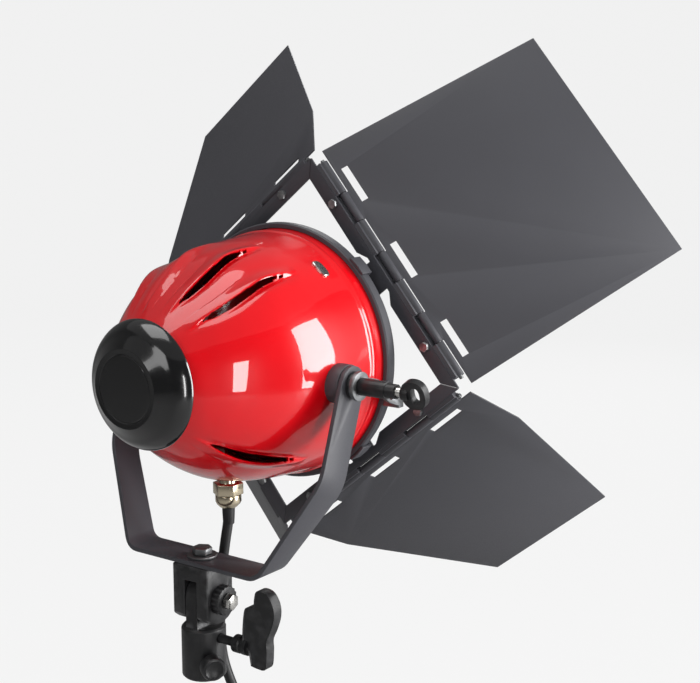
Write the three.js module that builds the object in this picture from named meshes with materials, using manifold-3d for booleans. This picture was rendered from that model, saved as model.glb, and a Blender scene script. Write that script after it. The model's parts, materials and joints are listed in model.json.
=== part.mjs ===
// An open-face tungsten light on a stand bracket, with a four-leaf barndoor on its front.
// Lengths are millimetres. X runs along the tilt axis, the beam leaves along -Y and Z is up.
// The origin is the centre of the mouth of the stand socket.
// The head is drawn in a frame of its own: its focal point is the zero, and a station is
// counted forward from there along the beam.

import * as THREE from "three";
import { mergeVertices } from "three/addons/utils/BufferGeometryUtils.js";
import Module from "manifold-3d";

const wasm = await Module();
wasm.setup();

// Clearances
const seat = 0.3; // between pieces that are bolted together or rest on each other
const running = 0.4; // round a shaft that turns or slides
const overrun = 4; // how far a cutting tool runs past what it cuts
const weld = 1e-4; // corners closer than this are one corner

// Stand socket
const socketRadius = 15;
const socketBore = 8.1;
const socketBoreDepth = 33;
const socketHeight = 36;
const socketChamfer = 1.5;
const tongueThickness = 10;
const tongueRadius = 12;
const tiltAxisHeight = 56.5;

// Wing handle that clamps the stand's spigot
const handleAzimuth = Math.PI;
const handleAxisHeight = 29;
const handleStudRadius = 3;
const handleHubRadius = 6;
const handleHubStart = 28;
const handleHubLength = 13;
const handleWingStart = 36.5;
const handleWingLength = 30.5;
const handleWingRise = 43.5;
const handleWingThickness = 8;
const handleReachShares = [0, 0.36, 0.9, 0.97, 1, 0.69, 0.62, 0.25, 0.1];
const handleRiseShares = [0.53, 1, 0.98, 0.92, 0.61, -0.19, -0.31, -0.33, -0.02];

// Round knob that clamps the spigot from the other side
const clampAzimuth = THREE.MathUtils.degToRad(146);
const clampAxisHeight = 13.5;
const clampRadius = 8.2;
const clampReach = 27;
const clampStudRadius = 3;
const clampKnobLength = 9;

// Tilting block over the socket
const tiltBlockWidth = 30;
const tiltBlockDepth = 26;
const tiltBlockRadius = 17.5;
const rosetteRadius = 10;
const rosetteThickness = 6;
const rosetteTeeth = 18;
const rosetteToothDepth = 0.8;
const rosetteBoltRadius = 3.5;
const rosetteHeadRadius = 5.5;
const rosetteHeadHeight = 5;

// Yoke
const yokeWidth = 25;
const yokeThickness = 3;
const yokeBaseHeight = 81.5;
const yokeBaseHalf = 56;
const yokeArmHalf = 91;
const yokeFlareRise = 64;
const yokeCornerRadius = 12;
const yokeFlareRadius = 34;
const yokeBendSteps = 5;
const yokeTipShares = [0.3, 0.55, 0.75, 0.88];
const baseBoltRadius = 4;
const baseBoltHeadRadius = 7;
const baseBoltHeadHeight = 4.5;
const baseWasherRadius = 10;
const baseWasherThickness = 1.6;

// Tilt axis of the head
const pivotForward = 43; // from the socket's axis, and from the focal point
const pivotHeight = 203.2;
const pivotDrop = 5.4; // below the beam's axis
const headTilt = THREE.MathUtils.degToRad(0.2);
const pivotBossRadius = 13;
const pivotStudRadius = 3;
const frictionDiscRadius = 9;
const frictionDiscThickness = 2.5;

// Brackets that carry the outer ends of the pivots
const bracketThickness = 3;
const bracketEyeRadius = 9.5;
const bracketBandHalf = 4.2;
const bracketDrop = 17;
const bracketAlongShares = [0, 0.3, 0.55, 0.78, 1];
const bracketDropShares = [0, 0.08, 0.38, 0.8, 1];
const bracketSteps = 8;
const bracketHoleRadius = 2.2;
const bracketHoleShare = 0.76;
const bracketFootHalf = 5.5;
const lockBushRadius = 5.8;
const lockBushTipRadius = 4.8;
const lockBushLength = 27;
const lockBushTipLength = 7;
const lockStudGap = 5;
const lockKnobLength = 18;
const lockKnobHalf = 11;
const lockKnobThickness = 7.5;
const lockKnobHubRadius = 4.8;
const lockKnobTurn = THREE.MathUtils.degToRad(-17);
const lockSlotWidth = 3.2;
const lockSlotHalf = 5.5;
const lockReachShares = [0, 0.25, 0.75, 1];
const lockRiseShares = [0.45, 0.95, 1, 0.6];
const pivotNutRadius = 6.5;
const pivotNutLength = 6;

// Head shell: stations and outer radii from the back edge to the front edge
const wall = 1.5;
const shellStations = [-48.5, -46, -38, -26, -9, 9, 29, 46, 70, 88];
const shellRadii = [34, 37, 44.5, 54.5, 66, 74.5, 79.3, 81.7, 84, 86];
const shellBackBore = 9;
const shellSides = 40;
const ventAngles = [52, 76, 104, 128, 226, 314];
const ventStart = -31;
const ventLength = 64;
const ventWidth = 6.4;
const ventLengthShares = [0, 0.12, 0.28, 0.55, 0.8, 1];
const ventHalfShares = [0, 0.38, 0.5, 0.36, 0.18, 0];
const ventDepth = 60;

// Front rim, and the claws that hold the barndoor ring on it
const rimRadius = 90;
const rimBack = 86.5;
const rimFront = 92;
const rimLipRadius = 76;
const rimLipThickness = 1.8;
const rimChamfer = 1;
const clawAngles = [45, 135, 225, 315];
const clawWidth = 14;
const clawThickness = 1.7;
const clawHookRadius = 84.5;

// Reflector
const reflectorApex = 4;
const reflectorBack = 12;
const reflectorFront = 89.4;
const reflectorMouth = 80;
const reflectorThickness = 2;
const reflectorFlangeThickness = 1.1;
const reflectorSteps = 7;
const reflectorSlotHalfLength = 59;
const reflectorSlotHalfHeight = 11;
const reflectorSlotFront = 67;

// Lamp, its carriage and the focus drive
const lampStation = 38;
const lampHalfLength = 37;
const lampRadius = 5;
const lampShoulder = 3;
const lampPinRadius = 3;
const lampPinLength = 3;
const holderLength = 13;
const holderHeight = 15;
const holderDepth = 18;
const carriageStation = -7;
const carriageThickness = 3;
const carriageHalfHeight = 6;
const carriageArmThickness = 2.5;
const carriageArmHalf = 6;
const guideRodRadius = 2;
const guideRodSpacing = 29;
const guideRodFront = 9.5;
const focusScrewRadius = 4;
const focusScrewFront = 9.5;
const focusBushFlangeRadius = 13;
const focusBushFlangeThickness = 2.2;
const focusBushProud = 0.6;
const knobRadius = 41.5;
const knobFaceRadius = 25;
const knobBack = -67.5;
const knobFront = -50;
const knobDishDepth = 0.8;
const knobDishShare = 0.9;
const knobDepthShares = [0, 0.29, 0.46, 0.69, 0.91, 1];
const knobSwellShares = [0, 0.42, 0.68, 0.89, 1, 0.97];
const terminalLength = 26;
const terminalHeight = 16;
const terminalDepth = 20;
const terminalAway = 2;

// Wire guard
const guardWire = 1.2;
const guardRadius = 78.5;
const guardPlaces = [-40, 0, 40];
const guardWireSides = 6;

// Barndoor
const doorTurn = 50.7; // how far the ring is turned on the beam's axis at rest, in degrees
const doorSides = 4;
const doorRingOuter = 89.4;
const doorRingInner = 81;
const doorRingThickness = 2.6;
const doorLipThickness = 2;
const doorLipFront = 104;
const tabWidth = 22;
const frameThickness = 1.4;
const frameHingeEdge = 95;
const frameWaist = 5;
const frameLobeWidth = 10;
const frameWaistHalf = 14;
const frameLobeStart = 22;
const hingeSide = 98;
const hingeStation = 110;
const hingePinRadius = 1.5;
const hingePinHalf = 90;
const knuckleRadius = 2.9;
const knuckleLength = 26;
const knucklePlaces = [-75, -25, 25, 75];
const leafKnuckleLength = 23;
const leafKnucklePlaces = [-50, 0, 50];
const leafThickness = 1.1;
const leafStart = 3.6;
const leafRootHalf = 96;
const leafLength = 174;
const leafTipHalf = 91.5;
const wingLength = 177;
const wingShoulder = 52;
const wingShoulderHalf = 93;
const wingTipHalf = 58;
const slotPlaces = [-64, 0, 64];
const slotHalf = 14;
const slotWidth = 5;
const slotInset = 8;
const leafNames = ["leaf_wing_upper", "leaf_square_upper", "leaf_wing_lower", "leaf_square_lower"];
const leafAngles = [48.7, 48.4, 35, 45]; // at rest, outwards from the beam, in degrees

// Cable gland
const glandStation = 27;
const glandShankRadius = 6;
const glandHexRadius = 10.5;
const glandHexHeight = 8;
const glandNutRadius = 9;
const glandNutHeight = 9;
const glandNutRadiusShares = [0.62, 0.9, 1];
const glandNutHeightShares = [0, 0.3, 0.5];
const glandMouth = 4;
const glandLockNutRadius = 9;
const glandLockNutHeight = 3;
const glandShankProud = 2;

// Flex
const cordDiameter = 7;
const cordSides = 8;
const cordStep = 16;
// Hand-chosen points: from the gland down in front of the yoke's base to the level of the tilt block
const upperCordPoints = [
  [0, -27.3, 110.5],
  [0, -27.2, 105],
  [0.3, -26.6, 98],
  [1.2, -25.2, 88],
  [2.6, -24.2, 76],
  [3.8, -24, 69],
  [4.6, -24, 62],
];
// Hand-chosen points: on down beside the socket and round to the top of the coil
const lowerCordPoints = [
  [4.6, -24, 61.7],
  [5.4, -24, 52],
  [6.2, -24, 36],
  [6.2, -24, 18],
  [3.4, -24, 0],
  [-5, -24, -18],
  [-15.4, -24, -32],
  [-23, -24, -45],
  [-25.6, -24, -58],
  [-22.6, -24, -70],
  [-16, -24, -79],
  [-8.4, -24, -83.6],
  [-3.3, -24, -84],
];
const coilStart = [-3, -24, -84];
const coilRadius = 38.5;
const coilPitch = 7.8;
const coilLayers = 4;
const turnsPerLayer = 2;
const lastQuarterShare = 0.25;
const coilSteps = 24;
const coilSides = 6;
const coilTail = 32;
const coilTailSteps = 2;
const tieWidth = 9;
const tieThickness = 1.4;
const tieRoom = 1.3;
const plugLength = 34;
const plugRadius = 17;
const plugNeckRadius = 6.5;
const plugRadiusShares = [0.94, 1, 1, 0.8];
const plugLengthShares = [0, 0.06, 0.42, 0.66];
const plugPinLength = 19;
const plugPinRadius = 2.4;
const plugPinSpacing = 9.5;

const FULL = Math.PI * 2;
const HALF = Math.PI;
const QUARTER = Math.PI / 2;
const ROUND = 24;
const SMALL = 12;
const HEX = 6;

const finish = (color, roughness, metalness) =>
  new THREE.MeshStandardMaterial({ color, roughness, metalness });
const redLacquer = () => finish(0xd80a1c, 0.18, 0.1);
const glossBlack = () => finish(0x161719, 0.2, 0);
const mattBlack = () => finish(0x3d3d43, 0.6, 0.3);
const castBlack = () => finish(0x2c2d31, 0.55, 0.3);
const mouldedBlack = () => finish(0x26262a, 0.5, 0);
const greySteel = () => finish(0x8b8f92, 0.4, 0.9);
const brightSteel = () => finish(0xc8c8c6, 0.25, 1);
const nickel = () => finish(0xd6c9a8, 0.25, 1);
const polished = () => finish(0xdcdcdc, 0.15, 1);
const ceramic = () => finish(0xe9e4d6, 0.6, 0);
const quartz = () => finish(0xeef2f4, 0.05, 0);
const rubberBlack = () => finish(0x1d1d1f, 0.6, 0);

// A closed mesh as a solid, and back
function solidFrom(geometry) {
  const bare = geometry.clone();
  bare.deleteAttribute("normal");
  bare.deleteAttribute("uv");
  const merged = mergeVertices(bare, weld);
  const vertProperties = merged.attributes.position.array;
  const triVerts = new Uint32Array(merged.index.array);
  return new wasm.Manifold(new wasm.Mesh({ numProp: 3, vertProperties, triVerts }));
}

function geometryFrom(solid) {
  const mesh = solid.getMesh();
  const geometry = new THREE.BufferGeometry();
  const places = new Float32Array(mesh.vertProperties);
  geometry.setAttribute("position", new THREE.BufferAttribute(places, 3));
  geometry.setIndex(new THREE.BufferAttribute(new Uint32Array(mesh.triVerts), 1));
  geometry.computeVertexNormals();
  return geometry;
}

const join = (...parts) => geometryFrom(parts.map(solidFrom).reduce((a, b) => a.add(b)));
const cut = (body, ...tools) =>
  geometryFrom(tools.map(solidFrom).reduce((a, b) => a.subtract(b), solidFrom(body)));
const common = (a, b) => geometryFrom(solidFrom(a).intersect(solidFrom(b)));

// A closed profile of [radius, height] pairs turned about Y
function revolved(profile, sides = ROUND) {
  const points = profile.map(([r, h]) => new THREE.Vector2(r, h));
  const onAxis = points[0].x === 0 && points.at(-1).x === 0;
  const loop = onAxis ? points : [...points, points[0].clone()];
  const area = loop.reduce((sum, p, i) => sum + p.cross(loop[(i + 1) % loop.length]), 0);
  return new THREE.LatheGeometry(area < 0 ? loop.reverse() : loop, sides);
}

const stoodUp = (geometry) => geometry.rotateX(QUARTER); // turns Y up to Z

// A cylinder along X, Y or Z between two stations
function rod(axis, from, to, radius, sides = SMALL) {
  const geometry = new THREE.CylinderGeometry(radius, radius, Math.abs(to - from), sides);
  geometry.translate(0, (from + to) / 2, 0);
  if (axis === "x") geometry.rotateZ(-QUARTER);
  if (axis === "z") geometry.rotateX(QUARTER);
  return geometry;
}

function block(low, high) {
  const size = high.map((value, i) => value - low[i]);
  const middle = high.map((value, i) => (value + low[i]) / 2);
  return new THREE.BoxGeometry(...size).translate(...middle);
}

const axisX = new THREE.Vector3(1, 0, 0);
const axisY = new THREE.Vector3(0, 1, 0);
const axisZ = new THREE.Vector3(0, 0, 1);
const basis = (x, y, z) => new THREE.Matrix4().makeBasis(x, y, z);
const acrossX = basis(axisY, axisZ, axisX);
const alongBeam = basis(axisX, axisZ, axisY.clone().negate());
const outwardsUp = basis(axisY.clone().negate(), axisX, axisZ);

// A flat outline of [u, v] pairs, pushed between two stations and then turned by a matrix
function plate(outline, from, to, matrix) {
  const shape = new THREE.Shape(outline.map(([u, v]) => new THREE.Vector2(u, v)));
  const geometry = new THREE.ExtrudeGeometry(shape, { depth: to - from, bevelEnabled: false });
  return geometry.translate(0, 0, from).applyMatrix4(matrix);
}

function arc(centre, radius, from, to, steps) {
  return Array.from({ length: steps + 1 }, (_, i) => {
    const angle = THREE.MathUtils.lerp(from, to, i / steps);
    return [centre[0] + radius * Math.cos(angle), centre[1] + radius * Math.sin(angle)];
  });
}

// A closed skin through rings of equal length
function skin(rings) {
  const count = rings[0].length;
  const last = (rings.length - 1) * count;
  const faces = [];
  for (let start = 0; start < last; start += count) {
    for (let j = 0; j < count; j++) {
      const a = start + j;
      const b = start + ((j + 1) % count);
      faces.push(a, b, b + count, a, b + count, a + count);
    }
  }
  for (let j = 1; j + 1 < count; j++) faces.push(0, j + 1, j, last, last + j, last + j + 1);
  const geometry = new THREE.BufferGeometry();
  const places = rings.flat().flatMap((p) => p.toArray());
  geometry.setAttribute("position", new THREE.Float32BufferAttribute(places, 3));
  geometry.setIndex(faces);
  geometry.computeVertexNormals();
  return geometry;
}

const light = new THREE.Group();
const head = new THREE.Group();
const headOffset = new THREE.Group();
head.position.set(0, -pivotForward, pivotHeight);
head.rotation.x = -headTilt;
headOffset.position.set(0, pivotForward, pivotDrop);
head.add(headOffset);
light.add(head);

function piece(group, name, geometry, material) {
  const mesh = new THREE.Mesh(geometry, material);
  mesh.name = name;
  group.add(mesh);
}

// Stand socket: a collar with a blind bore, and the tongue that the yoke tilts on
function screwHole(azimuth, height, radius) {
  return rod("x", socketBore / 2, socketRadius + overrun, radius + running)
    .rotateZ(azimuth)
    .translate(0, 0, height);
}

function standSocket() {
  const collar = stoodUp(revolved([
    [socketBore, 0],
    [socketRadius - socketChamfer, 0],
    [socketRadius, socketChamfer],
    [socketRadius, socketHeight - socketChamfer],
    [socketRadius - socketChamfer, socketHeight],
    [0, socketHeight],
    [0, socketBoreDepth],
    [socketBore, socketBoreDepth],
  ]));
  const half = tongueThickness / 2;
  const foot = socketHeight - socketChamfer;
  const centre = [0, tiltAxisHeight];
  const round = arc(centre, tongueRadius, 0, HALF, SMALL);
  const tongue = plate([...round, [-tongueRadius, foot], [tongueRadius, foot]], -half, half, acrossX);
  const bolt = rod("x", -socketRadius, socketRadius, rosetteBoltRadius + running);
  return cut(
    join(collar, tongue),
    bolt.translate(0, 0, tiltAxisHeight),
    screwHole(handleAzimuth, handleAxisHeight, handleStudRadius),
    screwHole(clampAzimuth, clampAxisHeight, clampStudRadius),
  );
}

function wingHandle() {
  const half = handleWingThickness / 2;
  const outline = handleReachShares.map((share, i) => [
    handleWingStart + share * handleWingLength,
    handleRiseShares[i] * handleWingRise,
  ]);
  return join(
    plate(outline.reverse(), -half, half, alongBeam),
    rod("x", handleHubStart, handleHubStart + handleHubLength, handleHubRadius),
    rod("x", socketBore + seat, handleHubStart + overrun, handleStudRadius),
  )
    .rotateZ(handleAzimuth)
    .translate(0, 0, handleAxisHeight);
}

function clampKnob() {
  const start = clampReach - clampKnobLength;
  const knob = revolved([
    [0, start],
    [clampRadius - socketChamfer, start],
    [clampRadius, start + socketChamfer],
    [clampRadius, clampReach - socketChamfer],
    [clampRadius - socketChamfer, clampReach],
    [0, clampReach],
  ], SMALL).rotateZ(-QUARTER);
  return join(knob, rod("x", socketBore + seat, start + socketChamfer, clampStudRadius))
    .rotateZ(clampAzimuth)
    .translate(0, 0, clampAxisHeight);
}

// Tilting block: two cheeks over the tongue, with the yoke's base on top
const slotTop = tongueRadius + running + running;

function tiltBlock() {
  const top = yokeBaseHeight - yokeThickness / 2 - seat - tiltAxisHeight;
  const half = tiltBlockWidth / 2;
  const trim = tiltBlockDepth / 2;
  const round = arc([0, 0], tiltBlockRadius, -HALF, 0, SMALL);
  const body = plate([...round, [tiltBlockRadius, top], [-tiltBlockRadius, top]], -half, half, acrossX);
  const reach = tiltBlockRadius + overrun;
  const room = block([-half - overrun, -trim, -reach], [half + overrun, trim, top + overrun]);
  const slotHalf = tongueThickness / 2 + running;
  const slot = block([-slotHalf, -reach, -reach], [slotHalf, reach, slotTop]);
  const bolt = rod("x", -half - overrun, half + overrun, rosetteBoltRadius + running);
  const stud = rod("z", tongueRadius, top + overrun, baseBoltRadius + seat);
  return cut(common(body, room), slot, bolt, stud).translate(0, 0, tiltAxisHeight);
}

const blockNear = -tiltBlockWidth / 2 - seat;
const rosetteNear = blockNear - rosetteThickness;

function rosetteDisc() {
  const count = rosetteTeeth + rosetteTeeth;
  const outline = Array.from({ length: count }, (_, i) => {
    const radius = rosetteRadius - (i % 2) * rosetteToothDepth;
    return [radius * Math.cos((FULL * i) / count), radius * Math.sin((FULL * i) / count)];
  });
  const disc = plate(outline, rosetteNear, blockNear, acrossX);
  const hole = rod("x", rosetteNear - overrun, blockNear + overrun, rosetteBoltRadius + running);
  return cut(disc, hole).translate(0, 0, tiltAxisHeight);
}

function rosetteBolt() {
  const head = rosetteNear - seat;
  const end = tiltBlockWidth / 2 + rosetteHeadHeight;
  return join(
    rod("x", head - rosetteHeadHeight, head, rosetteHeadRadius, HEX),
    rod("x", head - rosetteHeadHeight / 2, end, rosetteBoltRadius),
  ).translate(0, 0, tiltAxisHeight);
}

function rosetteNut() {
  const start = tiltBlockWidth / 2 + seat;
  const end = start + rosetteHeadHeight;
  return cut(
    rod("x", start, end, rosetteHeadRadius, HEX),
    rod("x", start - overrun, end + overrun, rosetteBoltRadius + seat),
  ).translate(0, 0, tiltAxisHeight);
}

// Yoke: a flat bar, its arms flared out and leaning forward from a level base
const yokeLean = Math.atan2(pivotForward, pivotHeight - yokeBaseHeight);
const yokeRise = Math.hypot(pivotForward, pivotHeight - yokeBaseHeight);

// Replaces each inner corner of a path by an arc of the given radius
function filleted(points, radii, steps) {
  const out = [points[0]];
  radii.forEach((radius, i) => {
    const corner = points[i + 1];
    const before = points[i].clone().sub(corner).normalize();
    const after = points[i + 2].clone().sub(corner).normalize();
    const half = Math.acos(before.dot(after)) / 2;
    const reach = radius / Math.tan(half);
    const middle = before.clone().add(after).normalize();
    const centre = middle.multiplyScalar(radius / Math.sin(half)).add(corner);
    const start = before.clone().multiplyScalar(reach).add(corner);
    const spread = HALF - half - half;
    const turn = before.cross(after) < 0 ? spread : -spread;
    for (let k = 0; k <= steps; k++) out.push(start.clone().rotateAround(centre, (turn * k) / steps));
  });
  return [...out, points.at(-1)];
}

function yokeStrap() {
  const bar = yokeWidth / 2;
  const half = yokeThickness / 2;
  const corners = [
    [0, 0],
    [yokeBaseHalf, 0],
    [yokeArmHalf, yokeFlareRise],
    [yokeArmHalf, yokeRise],
  ].map(([x, s]) => new THREE.Vector2(x, s));
  const path = filleted(corners, [yokeCornerRadius, yokeFlareRadius], yokeBendSteps);
  const stations = path.map((p) => ({ p, width: bar }));
  for (const share of yokeTipShares) {
    const rise = yokeRise + bar * Math.sin(share * QUARTER);
    stations.push({ p: new THREE.Vector2(yokeArmHalf, rise), width: bar * Math.cos(share * QUARTER) });
  }
  const ring = (i, side) => {
    const { p, width } = stations[i];
    const before = stations[Math.max(i - 1, 0)].p;
    const after = stations[Math.min(i + 1, stations.length - 1)].p;
    const along = after.clone().sub(before).normalize();
    const lean = yokeLean * THREE.MathUtils.smoothstep(p.y, 0, yokeWidth);
    const centre = new THREE.Vector3(side * p.x, -p.y * Math.sin(yokeLean), p.y * Math.cos(yokeLean));
    const across = new THREE.Vector3(0, Math.cos(lean), Math.sin(lean));
    const face = new THREE.Vector3(-side * along.y, -along.x * Math.sin(lean), along.x * Math.cos(lean));
    const corner = (w, n) =>
      centre.clone().addScaledVector(across, w * width).addScaledVector(face, n * half);
    return [corner(-1, -1), corner(1, -1), corner(1, 1), corner(-1, 1)];
  };
  const left = stations.map((_, i) => ring(i, -1)).reverse();
  const right = stations.map((_, i) => ring(i, 1)).slice(1);
  const strap = skin([...left, ...right]).translate(0, 0, yokeBaseHeight);
  const reach = yokeArmHalf + overrun;
  const pivots = rod("x", -reach, reach, pivotStudRadius + running);
  const bolt = rod("z", yokeBaseHeight - overrun, yokeBaseHeight + overrun, baseBoltRadius + seat);
  return cut(strap, pivots.translate(0, -pivotForward, pivotHeight), bolt);
}

const washerLow = yokeBaseHeight + yokeThickness / 2 + seat;
const washerHigh = washerLow + baseWasherThickness;

function baseWasher() {
  return cut(
    rod("z", washerLow, washerHigh, baseWasherRadius, ROUND),
    rod("z", washerLow - overrun, washerHigh + overrun, baseBoltRadius + seat),
  );
}

function baseBolt() {
  const low = washerHigh + seat;
  return join(
    rod("z", low, low + baseBoltHeadHeight, baseBoltHeadRadius, HEX),
    rod("z", tiltAxisHeight + slotTop + running, low + baseBoltHeadHeight / 2, baseBoltRadius),
  );
}

// Head shell
function shellRadiusAt(station) {
  const i = Math.max(shellStations.findIndex((s) => s > station), 1);
  const share = (station - shellStations[i - 1]) / (shellStations[i] - shellStations[i - 1]);
  return THREE.MathUtils.lerp(shellRadii[i - 1], shellRadii[i], share);
}

// What the shell's outer face encloses, grown or shrunk by an allowance
function shellEnvelope(allowance) {
  const back = -shellStations[0] + allowance;
  const front = -shellStations.at(-1) - overrun;
  const side = shellStations.slice(1).map((s, i) => [shellRadii[i + 1] + allowance, -s]);
  const rear = [shellRadii[0] + allowance, back];
  return revolved([[0, back], rear, ...side, [side.at(-1)[0], front], [0, front]], shellSides);
}

function ventCutter(angle) {
  const edge = (sign) =>
    ventLengthShares.map((share, i) => [
      ventStart + share * ventLength,
      sign * ventHalfShares[i] * ventWidth,
    ]);
  const outline = [...edge(-1), ...edge(1).slice(1, -1).reverse()];
  const radius = shellRadii.at(-1);
  return plate(outline, radius - ventDepth, radius, outwardsUp)
    .rotateY(QUARTER - THREE.MathUtils.degToRad(angle));
}

function headShell() {
  const back = -shellStations[0];
  const outer = shellStations.map((s, i) => [shellRadii[i], -s]);
  const inner = outer.slice(1).reverse().map(([r, h]) => [r - wall, h]);
  const shell = revolved([
    [shellBackBore, back],
    ...outer,
    ...inner,
    [shellRadii[0] - wall, back - wall],
    [shellBackBore, back - wall],
  ], shellSides);
  const reach = shellRadii.at(-1) + overrun;
  const glandHole = rod("z", -reach, -shellRadii[0], glandShankRadius + seat);
  return cut(shell, glandHole.translate(0, -glandStation, 0), ...ventAngles.map(ventCutter));
}

function frontRim() {
  const inside = shellRadii.at(-1) + seat;
  return revolved([
    [inside, -rimBack],
    [rimRadius - rimChamfer, -rimBack],
    [rimRadius, -rimBack - rimChamfer],
    [rimRadius, -rimFront],
    [rimLipRadius, -rimFront],
    [rimLipRadius, -rimFront + rimLipThickness],
    [inside, -rimFront + rimLipThickness],
  ], shellSides);
}

// Reflector: a paraboloid with a slot across its back for the lamp and its holders
function reflector() {
  const front = reflectorFront;
  const depth = front - reflectorApex;
  const throat = reflectorMouth * Math.sqrt((reflectorBack - reflectorApex) / depth);
  const curve = (shift) =>
    Array.from({ length: reflectorSteps + 1 }, (_, i) => {
      const radius = THREE.MathUtils.lerp(throat, reflectorMouth, i / reflectorSteps);
      return [radius, shift - reflectorApex - depth * (radius / reflectorMouth) ** 2];
    });
  const edge = shellRadii.at(-1);
  const dish = revolved([
    ...curve(0),
    [edge, -front],
    [edge, -front + reflectorFlangeThickness],
    [edge - wall - seat, -front + reflectorFlangeThickness],
    ...curve(reflectorThickness).reverse(),
  ], shellSides);
  const slot = block(
    [-reflectorSlotHalfLength, -reflectorSlotFront, -reflectorSlotHalfHeight],
    [reflectorSlotHalfLength, 0, reflectorSlotHalfHeight],
  );
  return cut(dish, slot);
}

function wireGuard() {
  const station = rimFront + guardWire + seat;
  const wires = guardPlaces.flatMap((place) => {
    const half = Math.sqrt(guardRadius ** 2 - place ** 2);
    return [
      rod("x", -half, half, guardWire, guardWireSides).translate(0, 0, place),
      rod("z", -half, half, guardWire, guardWireSides).translate(place, 0, 0),
    ];
  });
  return join(...wires).translate(0, -station, 0);
}

const doorRingBack = rimFront + running;
const doorRingFront = doorRingBack + doorRingThickness;

function ringClaw(angle) {
  const low = rimRadius + seat;
  const high = low + clawThickness;
  const hookBack = doorRingFront + running;
  const hookFront = hookBack + clawThickness;
  const hoop = revolved([
    [low, -rimBack],
    [high, -rimBack],
    [high, -hookFront],
    [clawHookRadius, -hookFront],
    [clawHookRadius, -hookBack],
    [low, -hookBack],
  ], shellSides);
  const half = clawWidth / 2;
  const reach = high + overrun;
  const room = block([0, -hookFront - overrun, -half], [reach, -rimBack + overrun, half]);
  return common(hoop, room).rotateY(-THREE.MathUtils.degToRad(angle));
}

// Tilt pivots. side is -1 on the side of the lock knob.
const armInner = yokeArmHalf - yokeThickness / 2;
const armOuter = yokeArmHalf + yokeThickness / 2;
const discNear = armOuter + seat;
const discFar = discNear + frictionDiscThickness;
const bracketNear = discFar + seat;
const bracketFar = bracketNear + bracketThickness;
const bushNear = bracketFar + seat;
const bushFar = bushNear + lockBushLength;
const knobStart = bushFar + lockStudGap;

const onPivot = (side, from, to, radius, sides) =>
  rod("x", side * from, side * to, radius, sides).translate(0, -pivotForward, -pivotDrop);

function pivotBoss(side) {
  const boss = onPivot(side, shellRadii[0], armInner - seat, pivotBossRadius, ROUND);
  const bore = onPivot(side, shellRadii[0] - overrun, armInner + overrun, pivotStudRadius + running);
  return cut(boss, shellEnvelope(seat), bore);
}

function frictionDisc(side) {
  const disc = rod("x", side * discNear, side * discFar, frictionDiscRadius, ROUND);
  const reach = frictionDiscThickness + overrun;
  const hole = rod("x", side * (discNear - reach), side * (discFar + reach), pivotStudRadius + running);
  return cut(disc, hole).translate(0, -pivotForward, pivotHeight);
}

function bracketBand() {
  const run = (rimBack + rimFront) / 2 - pivotForward;
  const points = bracketAlongShares.map((share, i) =>
    new THREE.Vector2(-pivotForward - share * run, -pivotDrop - bracketDropShares[i] * bracketDrop),
  );
  const curve = new THREE.SplineCurve(points);
  const edge = (sign) =>
    Array.from({ length: bracketSteps + 1 }, (_, i) => {
      const share = i / bracketSteps;
      const along = curve.getTangentAt(share);
      const at = curve.getPointAt(share);
      return [at.x - sign * along.y * bracketBandHalf, at.y + sign * along.x * bracketBandHalf];
    });
  return { outline: [...edge(1), ...edge(-1).reverse()], hole: curve.getPointAt(bracketHoleShare) };
}

function sideBracket(side) {
  const near = Math.min(side * bracketNear, side * bracketFar);
  const far = Math.max(side * bracketNear, side * bracketFar);
  const { outline, hole } = bracketBand();
  const footLow = [Math.min(0, side * bracketFar), -rimFront, -pivotDrop - bracketDrop - bracketFootHalf];
  const footHigh = [Math.max(0, side * bracketFar), -rimBack, -pivotDrop - bracketDrop + bracketFootHalf];
  const rim = rod("y", -rimFront - overrun, -rimBack + overrun, rimRadius + seat, shellSides);
  const slot = rod("x", near - overrun, far + overrun, bracketHoleRadius).translate(0, hole.x, hole.y);
  return cut(
    join(
      onPivot(side, bracketNear, bracketFar, bracketEyeRadius, ROUND),
      plate(outline, near, far, acrossX),
      cut(block(footLow, footHigh), rim),
    ),
    onPivot(side, bracketNear - overrun, bracketFar + overrun, pivotStudRadius + running),
    slot,
  );
}

function lockBush() {
  const shoulder = bushFar - lockBushTipLength;
  return cut(
    join(
      onPivot(-1, bushNear, shoulder, lockBushRadius),
      onPivot(-1, bushNear, bushFar, lockBushTipRadius),
    ),
    onPivot(-1, bushNear - overrun, bushFar + overrun, pivotStudRadius + running),
  );
}

function lockKnob() {
  const half = lockKnobThickness / 2;
  const edge = (sign) =>
    lockReachShares.map((share, i) => [
      -knobStart - share * lockKnobLength,
      sign * lockRiseShares[i] * lockKnobHalf,
    ]);
  const wing = plate([...edge(1), ...edge(-1).reverse()], -half, half, alongBeam);
  const middle = knobStart + lockKnobLength * lockReachShares[2];
  const hub = rod("x", -knobStart, -middle, lockKnobHubRadius);
  const slot = block(
    [-middle - lockSlotWidth / 2, -lockKnobHalf, -lockSlotHalf],
    [-middle + lockSlotWidth / 2, lockKnobHalf, lockSlotHalf],
  );
  return cut(join(wing, hub), slot)
    .rotateX(lockKnobTurn)
    .translate(0, -pivotForward, -pivotDrop);
}

const lockStud = () => onPivot(-1, shellRadii.at(-1), knobStart - seat, pivotStudRadius);

const farPivotBolt = () =>
  join(
    onPivot(1, bushNear, bushNear + pivotNutLength, pivotNutRadius, HEX),
    onPivot(1, shellRadii.at(-1), bushNear + pivotNutLength / 2, pivotStudRadius),
  );

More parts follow.
